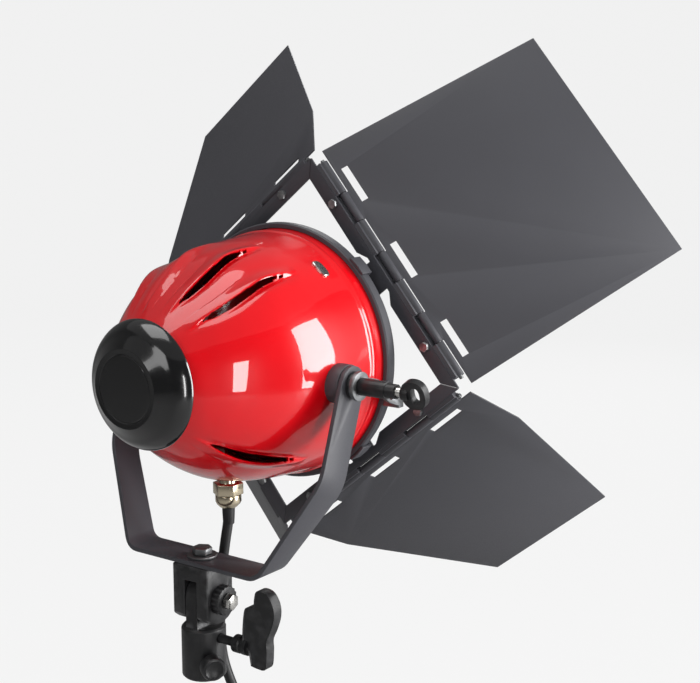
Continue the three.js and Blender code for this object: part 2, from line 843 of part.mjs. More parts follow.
// Lamp carriage and focus drive
function lampCarriage() {
  const armOut = lampHalfLength + lampPinLength + holderLength + seat + carriageArmThickness;
  const armIn = armOut - carriageArmThickness;
  const back = -carriageStation;
  const front = back - carriageThickness;
  const bridge = block([-armOut, front, -carriageHalfHeight], [armOut, back, carriageHalfHeight]);
  const tip = -lampStation - holderDepth / 2;
  const right = block([armIn, tip, -carriageArmHalf], [armOut, back, carriageArmHalf]);
  const left = block([-armOut, tip, -carriageArmHalf], [-armIn, back, carriageArmHalf]);
  const bore = (x, radius) =>
    rod("y", front - overrun, back + overrun, radius + running).translate(x, 0, 0);
  return cut(
    join(bridge, right, left),
    bore(0, focusScrewRadius),
    bore(guideRodSpacing, guideRodRadius),
    bore(-guideRodSpacing, guideRodRadius),
  );
}

function lampHolder(side) {
  const inner = lampHalfLength + lampPinLength + seat;
  const outer = inner + holderLength - seat;
  const low = [Math.min(side * inner, side * outer), -lampStation - holderDepth / 2, -holderHeight / 2];
  const high = [Math.max(side * inner, side * outer), -lampStation + holderDepth / 2, holderHeight / 2];
  return block(low, high);
}

function lampTube() {
  const end = lampHalfLength;
  const tip = end + lampPinLength;
  return revolved([
    [0, -tip],
    [lampPinRadius, -tip],
    [lampPinRadius, -end],
    [lampRadius, -end + lampShoulder],
    [lampRadius, end - lampShoulder],
    [lampPinRadius, end],
    [lampPinRadius, tip],
    [0, tip],
  ], SMALL).rotateZ(QUARTER).translate(0, -lampStation, 0);
}

const backWall = -shellStations[0] - wall;

const guideRod = (side) =>
  rod("y", -guideRodFront, backWall - seat, guideRodRadius).translate(side * guideRodSpacing, 0, 0);

const focusScrew = () => rod("y", -focusScrewFront, -knobFront - seat, focusScrewRadius);

function focusBush() {
  const bore = focusScrewRadius + running;
  const barrel = shellBackBore - seat;
  const flange = backWall - seat;
  return revolved([
    [bore, flange - focusBushFlangeThickness],
    [focusBushFlangeRadius, flange - focusBushFlangeThickness],
    [focusBushFlangeRadius, flange],
    [barrel, flange],
    [barrel, -shellStations[0] + focusBushProud],
    [bore, -shellStations[0] + focusBushProud],
  ]);
}

function focusKnob() {
  const depth = knobFront - knobBack;
  const side = knobDepthShares.map((share, i) => [
    THREE.MathUtils.lerp(knobFaceRadius, knobRadius, knobSwellShares[i]),
    -knobBack - share * depth,
  ]);
  return revolved([
    [0, -knobBack - knobDishDepth],
    [knobFaceRadius * knobDishShare, -knobBack - knobDishDepth],
    ...side,
    [0, -knobFront],
  ], shellSides);
}

// Cable gland under the shell, its lock nut and the terminal block inside
const glandTop = -shellRadiusAt(glandStation + glandHexRadius) - seat;
const glandHexLow = glandTop - glandHexHeight;
const glandNutLow = glandHexLow - seat - glandNutHeight;
const innerFloor = shellRadiusAt(glandStation - glandLockNutRadius) - wall;
const lockNutLow = seat - Math.sqrt(innerFloor ** 2 - glandLockNutRadius ** 2);
const lockNutHigh = lockNutLow + glandLockNutHeight;

const onGland = (from, to, radius, sides) => rod("z", from, to, radius, sides).translate(0, -glandStation, 0);

function glandBody() {
  const top = lockNutHigh + glandShankProud;
  return cut(
    join(
      onGland(glandHexLow, glandTop, glandHexRadius, HEX),
      onGland(glandTop - glandHexHeight / 2, top, glandShankRadius),
    ),
    onGland(glandHexLow - overrun, top + overrun, glandMouth),
  );
}

function glandNut() {
  const side = glandNutRadiusShares.map((share, i) => [
    glandNutRadius * share,
    glandNutLow + glandNutHeight * glandNutHeightShares[i],
  ]);
  const top = glandHexLow - seat;
  return stoodUp(revolved([[glandMouth, glandNutLow], ...side, [glandNutRadius, top], [glandMouth, top]], SMALL))
    .translate(0, -glandStation, 0);
}

function glandLockNut() {
  return cut(
    onGland(lockNutLow, lockNutHigh, glandLockNutRadius, HEX),
    onGland(lockNutLow - overrun, lockNutHigh + overrun, glandShankRadius + seat),
  );
}

function terminalBlock() {
  const low = wall - shellRadiusAt(glandStation);
  const near = glandLockNutRadius + terminalAway;
  const raw = block(
    [near, -glandStation - terminalDepth / 2, low - overrun],
    [near + terminalLength, -glandStation + terminalDepth / 2, low + terminalHeight],
  );
  return common(raw, shellEnvelope(-wall - seat));
}

// Barndoor ring with its upright lip
function doorRing() {
  const lip = doorRingInner + doorLipThickness;
  return revolved([
    [doorRingInner, -doorRingBack],
    [doorRingOuter, -doorRingBack],
    [doorRingOuter, -doorRingFront],
    [lip, -doorRingFront],
    [lip, -doorLipFront],
    [doorRingInner, -doorLipFront],
  ], shellSides);
}

// A hinge frame and its pin, with X outwards from the beam and Z along the hinge
const frameBack = doorLipFront + seat;
const frameFront = frameBack + frameThickness;

function onHinge(from, to, radius) {
  return rod("z", from, to, radius).translate(hingeSide, -hingeStation, 0);
}

function hingeFrame() {
  const waist = frameHingeEdge - frameWaist;
  const lobe = frameHingeEdge - frameLobeWidth;
  const half = tabWidth / 2;
  const side = [
    [doorRingInner, half],
    [waist, half],
    [waist, frameWaistHalf],
    [lobe, frameLobeStart],
    [lobe, lobe - seat],
    [frameHingeEdge, frameHingeEdge - seat],
  ];
  const outline = [...side, ...side.map(([u, v]) => [u, -v]).reverse()].reverse();
  const flat = plate(outline, frameBack, frameFront, alongBeam);
  const knuckles = knucklePlaces.flatMap((place) => {
    const low = place - knuckleLength / 2;
    const high = place + knuckleLength / 2;
    const ear = block(
      [frameHingeEdge - frameThickness, -hingeStation, low],
      [hingeSide, -(frameBack + frameFront) / 2, high],
    );
    return [onHinge(low, high, knuckleRadius), ear];
  });
  return cut(join(flat, ...knuckles), onHinge(-hingeSide, hingeSide, hingePinRadius + running));
}

const hingePin = () => onHinge(-hingePinHalf, hingePinHalf, hingePinRadius);

// A leaf lies along X from its hinge, with Z along the hinge
function leaf(outline) {
  const half = leafThickness / 2;
  const knuckles = leafKnucklePlaces.flatMap((place) => {
    const low = place - leafKnuckleLength / 2;
    const high = place + leafKnuckleLength / 2;
    return [rod("z", low, high, knuckleRadius), block([0, -half, low], [slotInset, half, high])];
  });
  const slots = slotPlaces.map((place) =>
    block(
      [slotInset, -leafThickness, place - slotHalf],
      [slotInset + slotWidth, leafThickness, place + slotHalf],
    ),
  );
  const mirrored = outline.map(([u, v]) => [u, -v]).reverse();
  const sheet = plate([...outline, ...mirrored].reverse(), -half, half, alongBeam);
  const bore = rod("z", -leafRootHalf, leafRootHalf, hingePinRadius + running);
  return cut(join(sheet, ...knuckles), bore, ...slots);
}

const squareLeaf = () =>
  leaf([
    [leafStart, leafRootHalf],
    [leafLength, leafTipHalf],
  ]);

const wingLeaf = () =>
  leaf([
    [leafStart, leafRootHalf],
    [wingShoulder, wingShoulderHalf],
    [wingLength, wingTipHalf],
  ]);

// Flex: the free stretches, and the coil that hangs under the light
function cordTube(points) {
  const curve = new THREE.CatmullRomCurve3(points.map((p) => new THREE.Vector3(...p)), false, "centripetal");
  const radius = cordDiameter / 2;
  const steps = Math.round(curve.getLength() / cordStep);
  const section = new THREE.Shape(arc([0, 0], radius, 0, FULL - FULL / cordSides, cordSides - 1)
    .map(([u, v]) => new THREE.Vector2(u, v)));
  return new THREE.ExtrudeGeometry(section, { steps, extrudePath: curve, bevelEnabled: false });
}

const coilOuter = coilRadius + (coilPitch * turnsPerLayer) / 2;
const coilCentre = new THREE.Vector3(coilStart[0] + cordDiameter, coilStart[1], coilStart[2] - coilOuter);

// Loops in layers: each layer spirals in or out, and the climb to the next one is spread
// over the half turn where the spiral reverses. Both ends run on straight.
function coilPoints() {
  const turns = coilLayers * turnsPerLayer + lastQuarterShare;
  const points = [new THREE.Vector3(...coilStart)];
  for (let i = 0; i <= turns * coilSteps; i++) {
    const turn = i / coilSteps;
    const layer = Math.min(Math.floor(turn / turnsPerLayer), coilLayers - 1);
    const inLayer = turn - layer * turnsPerLayer;
    const drawn = layer % 2 === 0 ? inLayer : turnsPerLayer - inLayer;
    const nearest = Math.round(turn / turnsPerLayer);
    const past = (turn - nearest * turnsPerLayer) / lastQuarterShare;
    const inner = nearest > 0 && nearest < coilLayers;
    const level = inner && Math.abs(past) < 1 ? nearest - (1 - past) / 2 : layer;
    const radius = coilOuter - drawn * coilPitch;
    const angle = QUARTER - FULL * turn;
    points.push(new THREE.Vector3(
      coilCentre.x + radius * Math.cos(angle),
      coilCentre.y - level * coilPitch,
      coilCentre.z + radius * Math.sin(angle),
    ));
  }
  const end = points.at(-1).clone();
  const step = coilTail / coilTailSteps;
  for (let i = 1; i <= coilTailSteps; i++) points.push(end.clone().addScaledVector(axisZ, -i * step));
  return points;
}

function cordCoil(points) {
  const radius = cordDiameter / 2;
  const rings = points.map((p, i) => {
    const before = points[Math.max(i - 1, 0)];
    const after = points[Math.min(i + 1, points.length - 1)];
    const along = after.clone().sub(before).normalize();
    const across = new THREE.Vector3().crossVectors(axisY, along).normalize();
    const up = new THREE.Vector3().crossVectors(along, across);
    return arc([0, 0], radius, 0, FULL - FULL / coilSides, coilSides - 1)
      .map(([u, v]) => p.clone().addScaledVector(across, u).addScaledVector(up, v));
  });
  return skin(rings);
}

function leastGap(points) {
  let least = Infinity;
  points.forEach((p, i) => {
    for (let j = i + coilSteps / 2; j < points.length; j++) least = Math.min(least, p.distanceTo(points[j]));
  });
  return least - cordDiameter;
}

function cordTie() {
  const radius = cordDiameter / 2;
  const outer = coilOuter + radius + tieRoom - coilPitch * lastQuarterShare;
  const inner = coilOuter - coilPitch * turnsPerLayer - radius - tieRoom + coilPitch * lastQuarterShare;
  const front = coilCentre.y - coilPitch * (coilLayers - 1) - radius - tieRoom;
  const back = coilCentre.y + radius + tieRoom;
  const half = tieWidth / 2;
  const { x, z } = coilCentre;
  const t = tieThickness;
  const band = block([x - outer - t, front - t, z - half], [x - inner + t, back + t, z + half]);
  const room = block([x - outer, front, z - tieWidth], [x - inner, back, z + tieWidth]);
  return cut(band, room);
}

function plug(end) {
  const side = plugRadiusShares.map((share, i) => [plugRadius * share, plugLength * plugLengthShares[i]]);
  const body = stoodUp(revolved([[0, 0], ...side, [plugNeckRadius, plugLength], [0, plugLength]]));
  const pin = (x) => rod("z", -plugPinLength, plugPinRadius, plugPinRadius).translate(x, 0, 0);
  return join(body, pin(plugPinSpacing), pin(-plugPinSpacing))
    .translate(end.x, end.y, end.z - seat - plugLength);
}

function addStandBracket() {
  piece(light, "stand_socket", standSocket(), castBlack());
  piece(light, "wing_handle", wingHandle(), mouldedBlack());
  piece(light, "clamp_knob", clampKnob(), mouldedBlack());
}

function addYoke() {
  piece(light, "tilt_block", tiltBlock(), castBlack());
  piece(light, "rosette_disc", rosetteDisc(), castBlack());
  piece(light, "rosette_bolt", rosetteBolt(), brightSteel());
  piece(light, "rosette_nut", rosetteNut(), brightSteel());
  piece(light, "yoke_strap", yokeStrap(), mattBlack());
  piece(light, "base_washer", baseWasher(), greySteel());
  piece(light, "base_bolt", baseBolt(), greySteel());
  piece(light, "friction_disc_near", frictionDisc(-1), mouldedBlack());
  piece(light, "friction_disc_far", frictionDisc(1), mouldedBlack());
}

function addHead() {
  const inHead = (name, geometry, material) => piece(headOffset, name, geometry, material);
  inHead("head_shell", headShell(), redLacquer());
  inHead("front_rim", frontRim(), mattBlack());
  inHead("reflector", reflector(), polished());
  inHead("wire_guard", wireGuard(), greySteel());
  clawAngles.forEach((angle, i) => inHead(`ring_claw_${i + 1}`, ringClaw(angle), mattBlack()));
  inHead("pivot_boss_near", pivotBoss(-1), mattBlack());
  inHead("pivot_boss_far", pivotBoss(1), mattBlack());
  inHead("side_bracket_near", sideBracket(-1), greySteel());
  inHead("side_bracket_far", sideBracket(1), greySteel());
  inHead("lock_bush", lockBush(), mouldedBlack());
  inHead("pivot_bolt_far", farPivotBolt(), greySteel());
  inHead("gland_body", glandBody(), nickel());
  inHead("gland_nut", glandNut(), nickel());
  inHead("gland_lock_nut", glandLockNut(), nickel());
  inHead("terminal_block", terminalBlock(), ceramic());
  inHead("focus_bush", focusBush(), nickel());
  inHead("guide_rod_near", guideRod(-1), brightSteel());
  inHead("guide_rod_far", guideRod(1), brightSteel());
  inHead("tilt_lock_knob", lockKnob(), mouldedBlack());
  inHead("tilt_lock_stud", lockStud(), brightSteel());
  inHead("focus_knob", focusKnob(), glossBlack());
  inHead("focus_screw", focusScrew(), brightSteel());
  inHead("lamp_carriage", lampCarriage(), greySteel());
  inHead("lamp_holder_near", lampHolder(-1), ceramic());
  inHead("lamp_holder_far", lampHolder(1), ceramic());
  inHead("lamp_tube", lampTube(), quartz());
}

function addBarndoor() {
  piece(headOffset, "door_ring", doorRing(), mattBlack());
  for (let i = 0; i < doorSides; i++) {
    const side = new THREE.Group();
    side.rotation.y = -THREE.MathUtils.degToRad(doorTurn) - (FULL * i) / doorSides;
    headOffset.add(side);
    piece(side, `hinge_frame_${i + 1}`, hingeFrame(), mattBlack());
    piece(side, `hinge_pin_${i + 1}`, hingePin(), greySteel());
    const swing = new THREE.Group();
    swing.position.set(hingeSide, -hingeStation, 0);
    swing.rotation.z = THREE.MathUtils.degToRad(leafAngles[i]) - QUARTER;
    side.add(swing);
    piece(swing, leafNames[i], i % 2 === 0 ? wingLeaf() : squareLeaf(), mattBlack());
  }
}

function addFlex() {
  const points = coilPoints();
  console.log(`least gap between the coil's loops: ${leastGap(points).toFixed(2)} mm`);
  piece(light, "cord_upper", cordTube(upperCordPoints), rubberBlack());
  piece(light, "cord_lower", cordTube(lowerCordPoints), rubberBlack());
  piece(light, "cord_coil", cordCoil(points), rubberBlack());
  piece(light, "cord_tie", cordTie(), rubberBlack());
  piece(light, "plug", plug(points.at(-1)), rubberBlack());
}

addStandBracket();
addYoke();
addHead();
addBarndoor();
addFlex();

export default light;
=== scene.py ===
"""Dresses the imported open-face light: finer meshes, procedural finishes, camera and soft studio light."""

import json
import math

import bmesh
import bpy
import numpy as np
from bpy.props import FloatProperty, FloatVectorProperty, IntProperty, PointerProperty
from mathutils import Matrix, Vector

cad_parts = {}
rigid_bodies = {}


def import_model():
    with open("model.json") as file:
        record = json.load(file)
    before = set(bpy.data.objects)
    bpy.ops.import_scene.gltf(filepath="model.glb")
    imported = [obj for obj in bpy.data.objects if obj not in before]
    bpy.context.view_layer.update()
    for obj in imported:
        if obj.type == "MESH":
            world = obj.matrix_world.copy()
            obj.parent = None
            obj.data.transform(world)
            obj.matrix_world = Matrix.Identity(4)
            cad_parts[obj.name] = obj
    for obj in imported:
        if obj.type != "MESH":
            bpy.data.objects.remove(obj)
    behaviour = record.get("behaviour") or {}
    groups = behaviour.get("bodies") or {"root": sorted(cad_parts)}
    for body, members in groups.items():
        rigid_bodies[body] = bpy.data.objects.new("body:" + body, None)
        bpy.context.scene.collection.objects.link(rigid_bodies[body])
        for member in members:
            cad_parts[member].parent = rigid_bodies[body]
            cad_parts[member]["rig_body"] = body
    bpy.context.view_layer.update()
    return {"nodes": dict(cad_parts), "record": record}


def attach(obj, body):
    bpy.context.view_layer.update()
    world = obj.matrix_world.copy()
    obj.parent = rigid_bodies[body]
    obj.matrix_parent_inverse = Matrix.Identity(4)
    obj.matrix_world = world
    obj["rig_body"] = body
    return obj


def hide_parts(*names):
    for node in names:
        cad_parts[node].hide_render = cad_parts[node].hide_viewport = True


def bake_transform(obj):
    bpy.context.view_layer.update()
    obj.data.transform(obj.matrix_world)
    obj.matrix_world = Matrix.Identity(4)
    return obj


bl_info = {
    "name": "Open-face light dresser",
    "version": (1, 0, 0),
    "blender": (4, 5, 0),
    "location": "View3D > Sidebar > Light",
    "description": "Builds the visible pieces of an open-face light over its packed model",
    "category": "Object",
}

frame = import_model()
NODES = frame["nodes"]
MM = 0.001
LEAVES = ("leaf_wing_upper", "leaf_square_upper", "leaf_wing_lower", "leaf_square_lower")

# Places. Local Z of BEAM runs forward along the beam.
HEAD = (
    Matrix.Translation((0, -0.043, 0.2032))
    @ Matrix.Rotation(math.radians(-0.2), 4, "X")
    @ Matrix.Translation((0, 0.043, 0.0054))
)
BEAM = HEAD @ Matrix.Rotation(math.pi / 2, 4, "X")
PIVOT = HEAD @ Matrix.Translation((0, -0.043, -0.0054))
DOOR_TURN = 50.7

# The cord's route, in metres: the gland to the tilt block, and on down to the top of the coil
UPPER_ROUTE = [
    (0, -0.0273, 0.1105), (0, -0.0272, 0.105), (0.0003, -0.0266, 0.098), (0.0012, -0.0252, 0.088),
    (0.0026, -0.0242, 0.076), (0.0038, -0.024, 0.069), (0.0046, -0.024, 0.062),
]
LOWER_ROUTE = [
    (0.0046, -0.024, 0.0617), (0.0054, -0.024, 0.052), (0.0062, -0.024, 0.036), (0.0062, -0.024, 0.018),
    (0.0034, -0.024, 0), (-0.005, -0.024, -0.018), (-0.0154, -0.024, -0.032), (-0.023, -0.024, -0.045),
    (-0.0256, -0.024, -0.058), (-0.0226, -0.024, -0.07), (-0.016, -0.024, -0.079),
    (-0.0084, -0.024, -0.0836), (-0.0033, -0.024, -0.084),
]
COIL_CENTRE = (0.004, -0.024, -0.1303)
COIL_OUTER = 0.0463
COIL_PITCH = 0.0078
COIL_LAYERS = 4
COIL_TURNS = 2
COIL_TAIL = 0.032


# Settings

def length(name, description, default, low=0.0, high=1.0):
    return FloatProperty(
        name=name, description=description, default=default, min=low, max=high, unit="LENGTH", precision=5
    )


def colour(name, description, default):
    return FloatVectorProperty(
        name=name, description=description, default=default, min=0, max=1, size=3, subtype="COLOR"
    )


class LightSizes(bpy.types.PropertyGroup):
    """Sizes of the visible detail"""

    edge: length("Edge rounding", "Rounding of cast and moulded edges", 0.0007, 0, 0.003)
    sheet_edge: length("Sheet edge", "Rounding of sheet metal edges", 0.00028, 0, 0.001)
    wall: length("Shell wall", "Thickness of the head's shell", 0.0015, 0.0005, 0.004)
    vent_hood: length("Vent hood", "How far a vent's upper side is raised", 0.0032, 0, 0.006)
    vent_sink: length("Vent sink", "How far a vent's lower side is pressed in", 0.0024, 0, 0.006)
    bead: length("Shell bead", "Height of the bead behind the front rim", 0.0009, 0, 0.003)
    cord: length("Cord", "Diameter of the mains cord", 0.007, 0.004, 0.012)
    segments: IntProperty(
        name="Segments", description="Sides of the turned pieces", default=128, min=24, max=256
    )


class LightColours(bpy.types.PropertyGroup):
    """Base colours of the finishes"""

    lacquer: colour("Lacquer", "Glossy lacquer of the shell", (0.72, 0.001, 0.006))
    sheet: colour("Sheet", "Matt heat-proof paint of the sheet metal", (0.056, 0.056, 0.065))
    cast: colour("Cast", "Enamel of the castings", (0.012, 0.012, 0.013))
    moulded: colour("Moulded", "Moulded plastic", (0.008, 0.008, 0.009))
    gloss: colour("Gloss", "Polished plastic of the focus knob", (0.003, 0.003, 0.0035))
    rubber: colour("Rubber", "Sheath of the cord", (0.014, 0.014, 0.015))
    backdrop: colour("Backdrop", "Floor and backdrop", (0.42, 0.42, 0.42))


# Shader groups

def node_group(name, inputs, outputs):
    """An empty shader group with named float inputs {name: default} and outputs {name: socket type}."""
    group = bpy.data.node_groups.new(name, "ShaderNodeTree")
    for key, default in inputs.items():
        socket = group.interface.new_socket(name=key, in_out="INPUT", socket_type="NodeSocketFloat")
        socket.default_value = default
    for key, kind in outputs.items():
        group.interface.new_socket(name=key, in_out="OUTPUT", socket_type=kind)
    return group, group.nodes.new("NodeGroupInput"), group.nodes.new("NodeGroupOutput")


def add_node(tree, kind, links=(), **settings):
    """A node with settings; links are (input socket, output socket) pairs into it."""
    node = tree.nodes.new(kind)
    for key, value in settings.items():
        setattr(node, key, value)
    for key, source in links:
        tree.links.new(source, node.inputs[key])
    return node


def spread(tree, source, low, high, to_low=0.0, to_high=1.0):
    """Maps a value from low..high to to_low..to_high, clamped."""
    node = add_node(tree, "ShaderNodeMapRange", [("Value", source)])
    for key, value in (("From Min", low), ("From Max", high), ("To Min", to_low), ("To Max", to_high)):
        node.inputs[key].default_value = value
    return node.outputs["Result"]


def multiply(tree, first, second):
    node = add_node(tree, "ShaderNodeMath", [(0, first)], operation="MULTIPLY")
    if isinstance(second, (int, float)):
        node.inputs[1].default_value = second
    else:
        tree.links.new(second, node.inputs[1])
    return node.outputs[0]


def grain_group():
    """Fine grain over broad mottling: Fine is the height of the grain, Broad drifts slowly."""
    group, start, end = node_group(
        "Grain",
        {"Scale": 900.0, "Broad scale": 18.0},
        {"Fine": "NodeSocketFloat", "Broad": "NodeSocketFloat"},
    )
    place = add_node(group, "ShaderNodeTexCoord").outputs["Object"]
    fine = add_node(group, "ShaderNodeTexNoise", [("Vector", place), ("Scale", start.outputs["Scale"])])
    fine.inputs["Detail"].default_value = 3
    links = [("Vector", place), ("Scale", start.outputs["Broad scale"])]
    broad = add_node(group, "ShaderNodeTexNoise", links)
    broad.inputs["Detail"].default_value = 4
    group.links.new(fine.outputs["Fac"], end.inputs["Fine"])
    group.links.new(spread(group, broad.outputs["Fac"], 0.35, 0.65), end.inputs["Broad"])
    return group


def wear_group():
    """Rubbed edges: a mask that is 1 on sharp outer edges, broken up by noise."""
    group, start, end = node_group("Edge wear", {"Amount": 0.5}, {"Mask": "NodeSocketFloat"})
    edge = spread(group, add_node(group, "ShaderNodeNewGeometry").outputs["Pointiness"], 0.53, 0.62)
    place = add_node(group, "ShaderNodeTexCoord").outputs["Object"]
    patches = add_node(group, "ShaderNodeTexNoise", [("Vector", place)])
    patches.inputs["Scale"].default_value = 140
    patches.inputs["Detail"].default_value = 5
    broken = spread(group, patches.outputs["Fac"], 0.42, 0.66)
    mask = multiply(group, multiply(group, edge, broken), start.outputs["Amount"])
    group.links.new(mask, end.inputs["Mask"])
    return group


def dust_group():
    """A thin film of dust where the surface faces up."""
    group, start, end = node_group("Dust", {"Amount": 0.1}, {"Mask": "NodeSocketFloat"})
    normal = add_node(group, "ShaderNodeNewGeometry").outputs["Normal"]
    up = add_node(group, "ShaderNodeSeparateXYZ", [("Vector", normal)]).outputs["Z"]
    place = add_node(group, "ShaderNodeTexCoord").outputs["Object"]
    specks = add_node(group, "ShaderNodeTexNoise", [("Vector", place)])
    specks.inputs["Scale"].default_value = 260
    specks.inputs["Detail"].default_value = 6
    film = multiply(group, spread(group, up, 0.1, 1.0), spread(group, specks.outputs["Fac"], 0.3, 0.7))
    group.links.new(multiply(group, film, start.outputs["Amount"]), end.inputs["Mask"])
    return group


def brushed_group():
    """Long thin scratches along local X, for drawn and turned metal."""
    group, start, end = node_group("Brushed", {"Scale": 60.0}, {"Lines": "NodeSocketFloat"})
    place = add_node(group, "ShaderNodeTexCoord").outputs["Object"]
    stretch = add_node(group, "ShaderNodeMapping", [("Vector", place)])
    stretch.inputs["Scale"].default_value = (2, 40, 40)
    links = [("Vector", stretch.outputs["Vector"]), ("Scale", start.outputs["Scale"])]
    lines = add_node(group, "ShaderNodeTexNoise", links)
    lines.inputs["Detail"].default_value = 4
    group.links.new(lines.outputs["Fac"], end.inputs["Lines"])
    return group


def peened_group():
    """Small round dimples, for a hammered reflector."""
    group, start, end = node_group("Peened", {"Scale": 210.0}, {"Height": "NodeSocketFloat"})
    place = add_node(group, "ShaderNodeTexCoord").outputs["Object"]
    cells = add_node(group, "ShaderNodeTexVoronoi", [("Vector", place), ("Scale", start.outputs["Scale"])])
    group.links.new(spread(group, cells.outputs["Distance"], 0.0, 0.7), end.inputs["Height"])
    return group


GROUP_MAKERS = {
    "Grain": grain_group,
    "Edge wear": wear_group,
    "Dust": dust_group,
    "Brushed": brushed_group,
    "Peened": peened_group,
}


def group_node(tree, name, **values):
    group = bpy.data.node_groups.get(name) or GROUP_MAKERS[name]()
    node = add_node(tree, "ShaderNodeGroup", node_tree=group)
    for key, value in values.items():
        node.inputs[key.replace("_", " ")].default_value = value
    return node


def mix_colour(tree, mask, first, second):
    """Mixes two colours, each a tuple or a socket, by a mask."""
    node = add_node(tree, "ShaderNodeMix", data_type="RGBA")
    tree.links.new(mask, node.inputs["Factor"])
    for key, value in (("A", first), ("B", second)):
        socket = next(s for s in node.inputs if s.name == key and s.type == "RGBA")
        if isinstance(value, tuple):
            socket.default_value = (*value[:3], 1)
        else:
            tree.links.new(value, socket)
    return next(s for s in node.outputs if s.type == "RGBA")


# Finishes

def shade(rgb, factor):
    return tuple(min(1.0, c * factor) for c in rgb)


DUST_COLOUR = (0.5, 0.48, 0.45)
BUMP_STRENGTH = 0.6


def finish(name, base, roughness, metallic=0.0, scale=900.0, relief=0.00004, drift=0.12,
           roughness_drift=0.06, wear=0.0, bare=(0.45, 0.45, 0.46), dust=0.0, texture="Grain", **plain):
    """A procedural finish: mottled base colour, grain or scratches as relief, worn edges and dust."""
    if name in bpy.data.materials:
        return bpy.data.materials[name]
    material = bpy.data.materials.new(name)
    material.use_nodes = True
    tree = material.node_tree
    shader = tree.nodes["Principled BSDF"]
    grain = group_node(tree, "Grain", Scale=scale)
    height = grain.outputs["Fine"]
    if texture == "Brushed":
        height = group_node(tree, "Brushed").outputs["Lines"]
    if texture == "Peened":
        height = group_node(tree, "Peened").outputs["Height"]
    base = tuple(base)
    surface = mix_colour(tree, grain.outputs["Broad"], shade(base, 1 - drift), shade(base, 1 + drift))
    if wear:
        mask = group_node(tree, "Edge wear", Amount=wear).outputs["Mask"]
        surface = mix_colour(tree, mask, surface, bare)
    if dust:
        mask = group_node(tree, "Dust", Amount=dust).outputs["Mask"]
        surface = mix_colour(tree, mask, surface, DUST_COLOUR)
    tree.links.new(surface, shader.inputs["Base Color"])
    smoothest = max(roughness - roughness_drift, 0.02)
    rough = spread(tree, height, 0.3, 0.7, smoothest, roughness + roughness_drift)
    tree.links.new(rough, shader.inputs["Roughness"])
    bump = add_node(tree, "ShaderNodeBump", [("Height", height)])
    bump.inputs["Strength"].default_value = BUMP_STRENGTH
    bump.inputs["Distance"].default_value = relief
    tree.links.new(bump.outputs["Normal"], shader.inputs["Normal"])
    shader.inputs["Metallic"].default_value = metallic
    for key, value in plain.items():
        shader.inputs[key.replace("_", " ")].default_value = value
    return material


def finishes():
    """Every finish by the record's slot name."""
    tint = bpy.context.scene.light_colours
    return {
        "red_lacquer": finish(
            "Red lacquer", tint.lacquer, 0.3, scale=420, relief=0.00001, drift=0.03, roughness_drift=0.02,
            dust=0.004, Coat_Weight=1.0, Coat_Roughness=0.03, Specular_IOR_Level=0.15,
        ),
        "sheet_black": finish(
            "Matt black sheet", tint.sheet, 0.5, scale=1500, relief=0.000012, drift=0.02, dust=0.003,
        ),
        "cast_black": finish(
            "Cast black", tint.cast, 0.42, scale=700, relief=0.00009, wear=0.5,
            bare=(0.3, 0.3, 0.31), dust=0.01,
        ),
        "moulded_black": finish(
            "Moulded black", tint.moulded, 0.4, scale=1300, relief=0.00004, wear=0.3,
            bare=(0.08, 0.08, 0.085), dust=0.006,
        ),
        "gloss_black": finish(
            "Gloss black", tint.gloss, 0.16, scale=500, relief=0.000008, roughness_drift=0.03,
            dust=0.004, Coat_Weight=0.6, Coat_Roughness=0.04,
        ),
        "grey_steel": finish(
            "Grey steel", (0.17, 0.175, 0.18), 0.45, 0.9, relief=0.00002, texture="Brushed", wear=0.6,
            bare=(0.7, 0.7, 0.7),
        ),
        "bright_steel": finish(
            "Bright steel", (0.62, 0.61, 0.58), 0.25, 1.0, relief=0.00001, texture="Brushed",
        ),
        "nickel": finish(
            "Nickel", (0.66, 0.57, 0.42), 0.22, 1.0, scale=300, relief=0.00001, wear=0.4,
            bare=(0.8, 0.66, 0.42),
        ),
        "polished_reflector": finish(
            "Peened reflector", (0.84, 0.84, 0.85), 0.16, 1.0, relief=0.0004, drift=0.03, texture="Peened",
        ),
        "ceramic": finish("Ceramic", (0.76, 0.72, 0.62), 0.5, scale=800, relief=0.00005),
        "quartz": finish(
            "Quartz", (0.95, 0.96, 0.97), 0.05, relief=0.000004, drift=0.02, roughness_drift=0.02,
            Transmission_Weight=0.9, IOR=1.46,
        ),
        "rubber": finish("Rubber", tint.rubber, 0.5, scale=1600, relief=0.00003, dust=0.01),
    }


# Mesh helpers

def smooth(mesh, angle=32.0):
    mesh.shade_smooth()
    mesh.set_sharp_from_angle(angle=math.radians(angle))
    return mesh


def from_bmesh(name, bm, angle=32.0):
    bmesh.ops.recalc_face_normals(bm, faces=bm.faces)
    mesh = bpy.data.meshes.new(name)
    bm.to_mesh(mesh)
    bm.free()
    return smooth(mesh, angle)


def place_piece(name, mesh, body, slot, replaces=()):
    """Puts a mesh, already in the row frame, into the scene as a named piece with its finish, of a body when
    one is given.
    """
    piece = bpy.data.objects.new(name, mesh)
    bpy.context.scene.collection.objects.link(piece)
    mesh.materials.append(finishes()[slot])
    if replaces:
        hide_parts(*replaces)
    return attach(piece, body) if body else piece


def round_edges(bm, width, steps=2, angle=35.0):
    """Rounds every edge that turns more than angle."""
    sharp = [e for e in bm.edges if e.is_manifold and e.calc_face_angle(0) > math.radians(angle)]
    bmesh.ops.bevel(
        bm, geom=sharp, offset=width, offset_type="OFFSET", segments=steps, profile=0.5,
        affect="EDGES", clamp_overlap=True,
    )


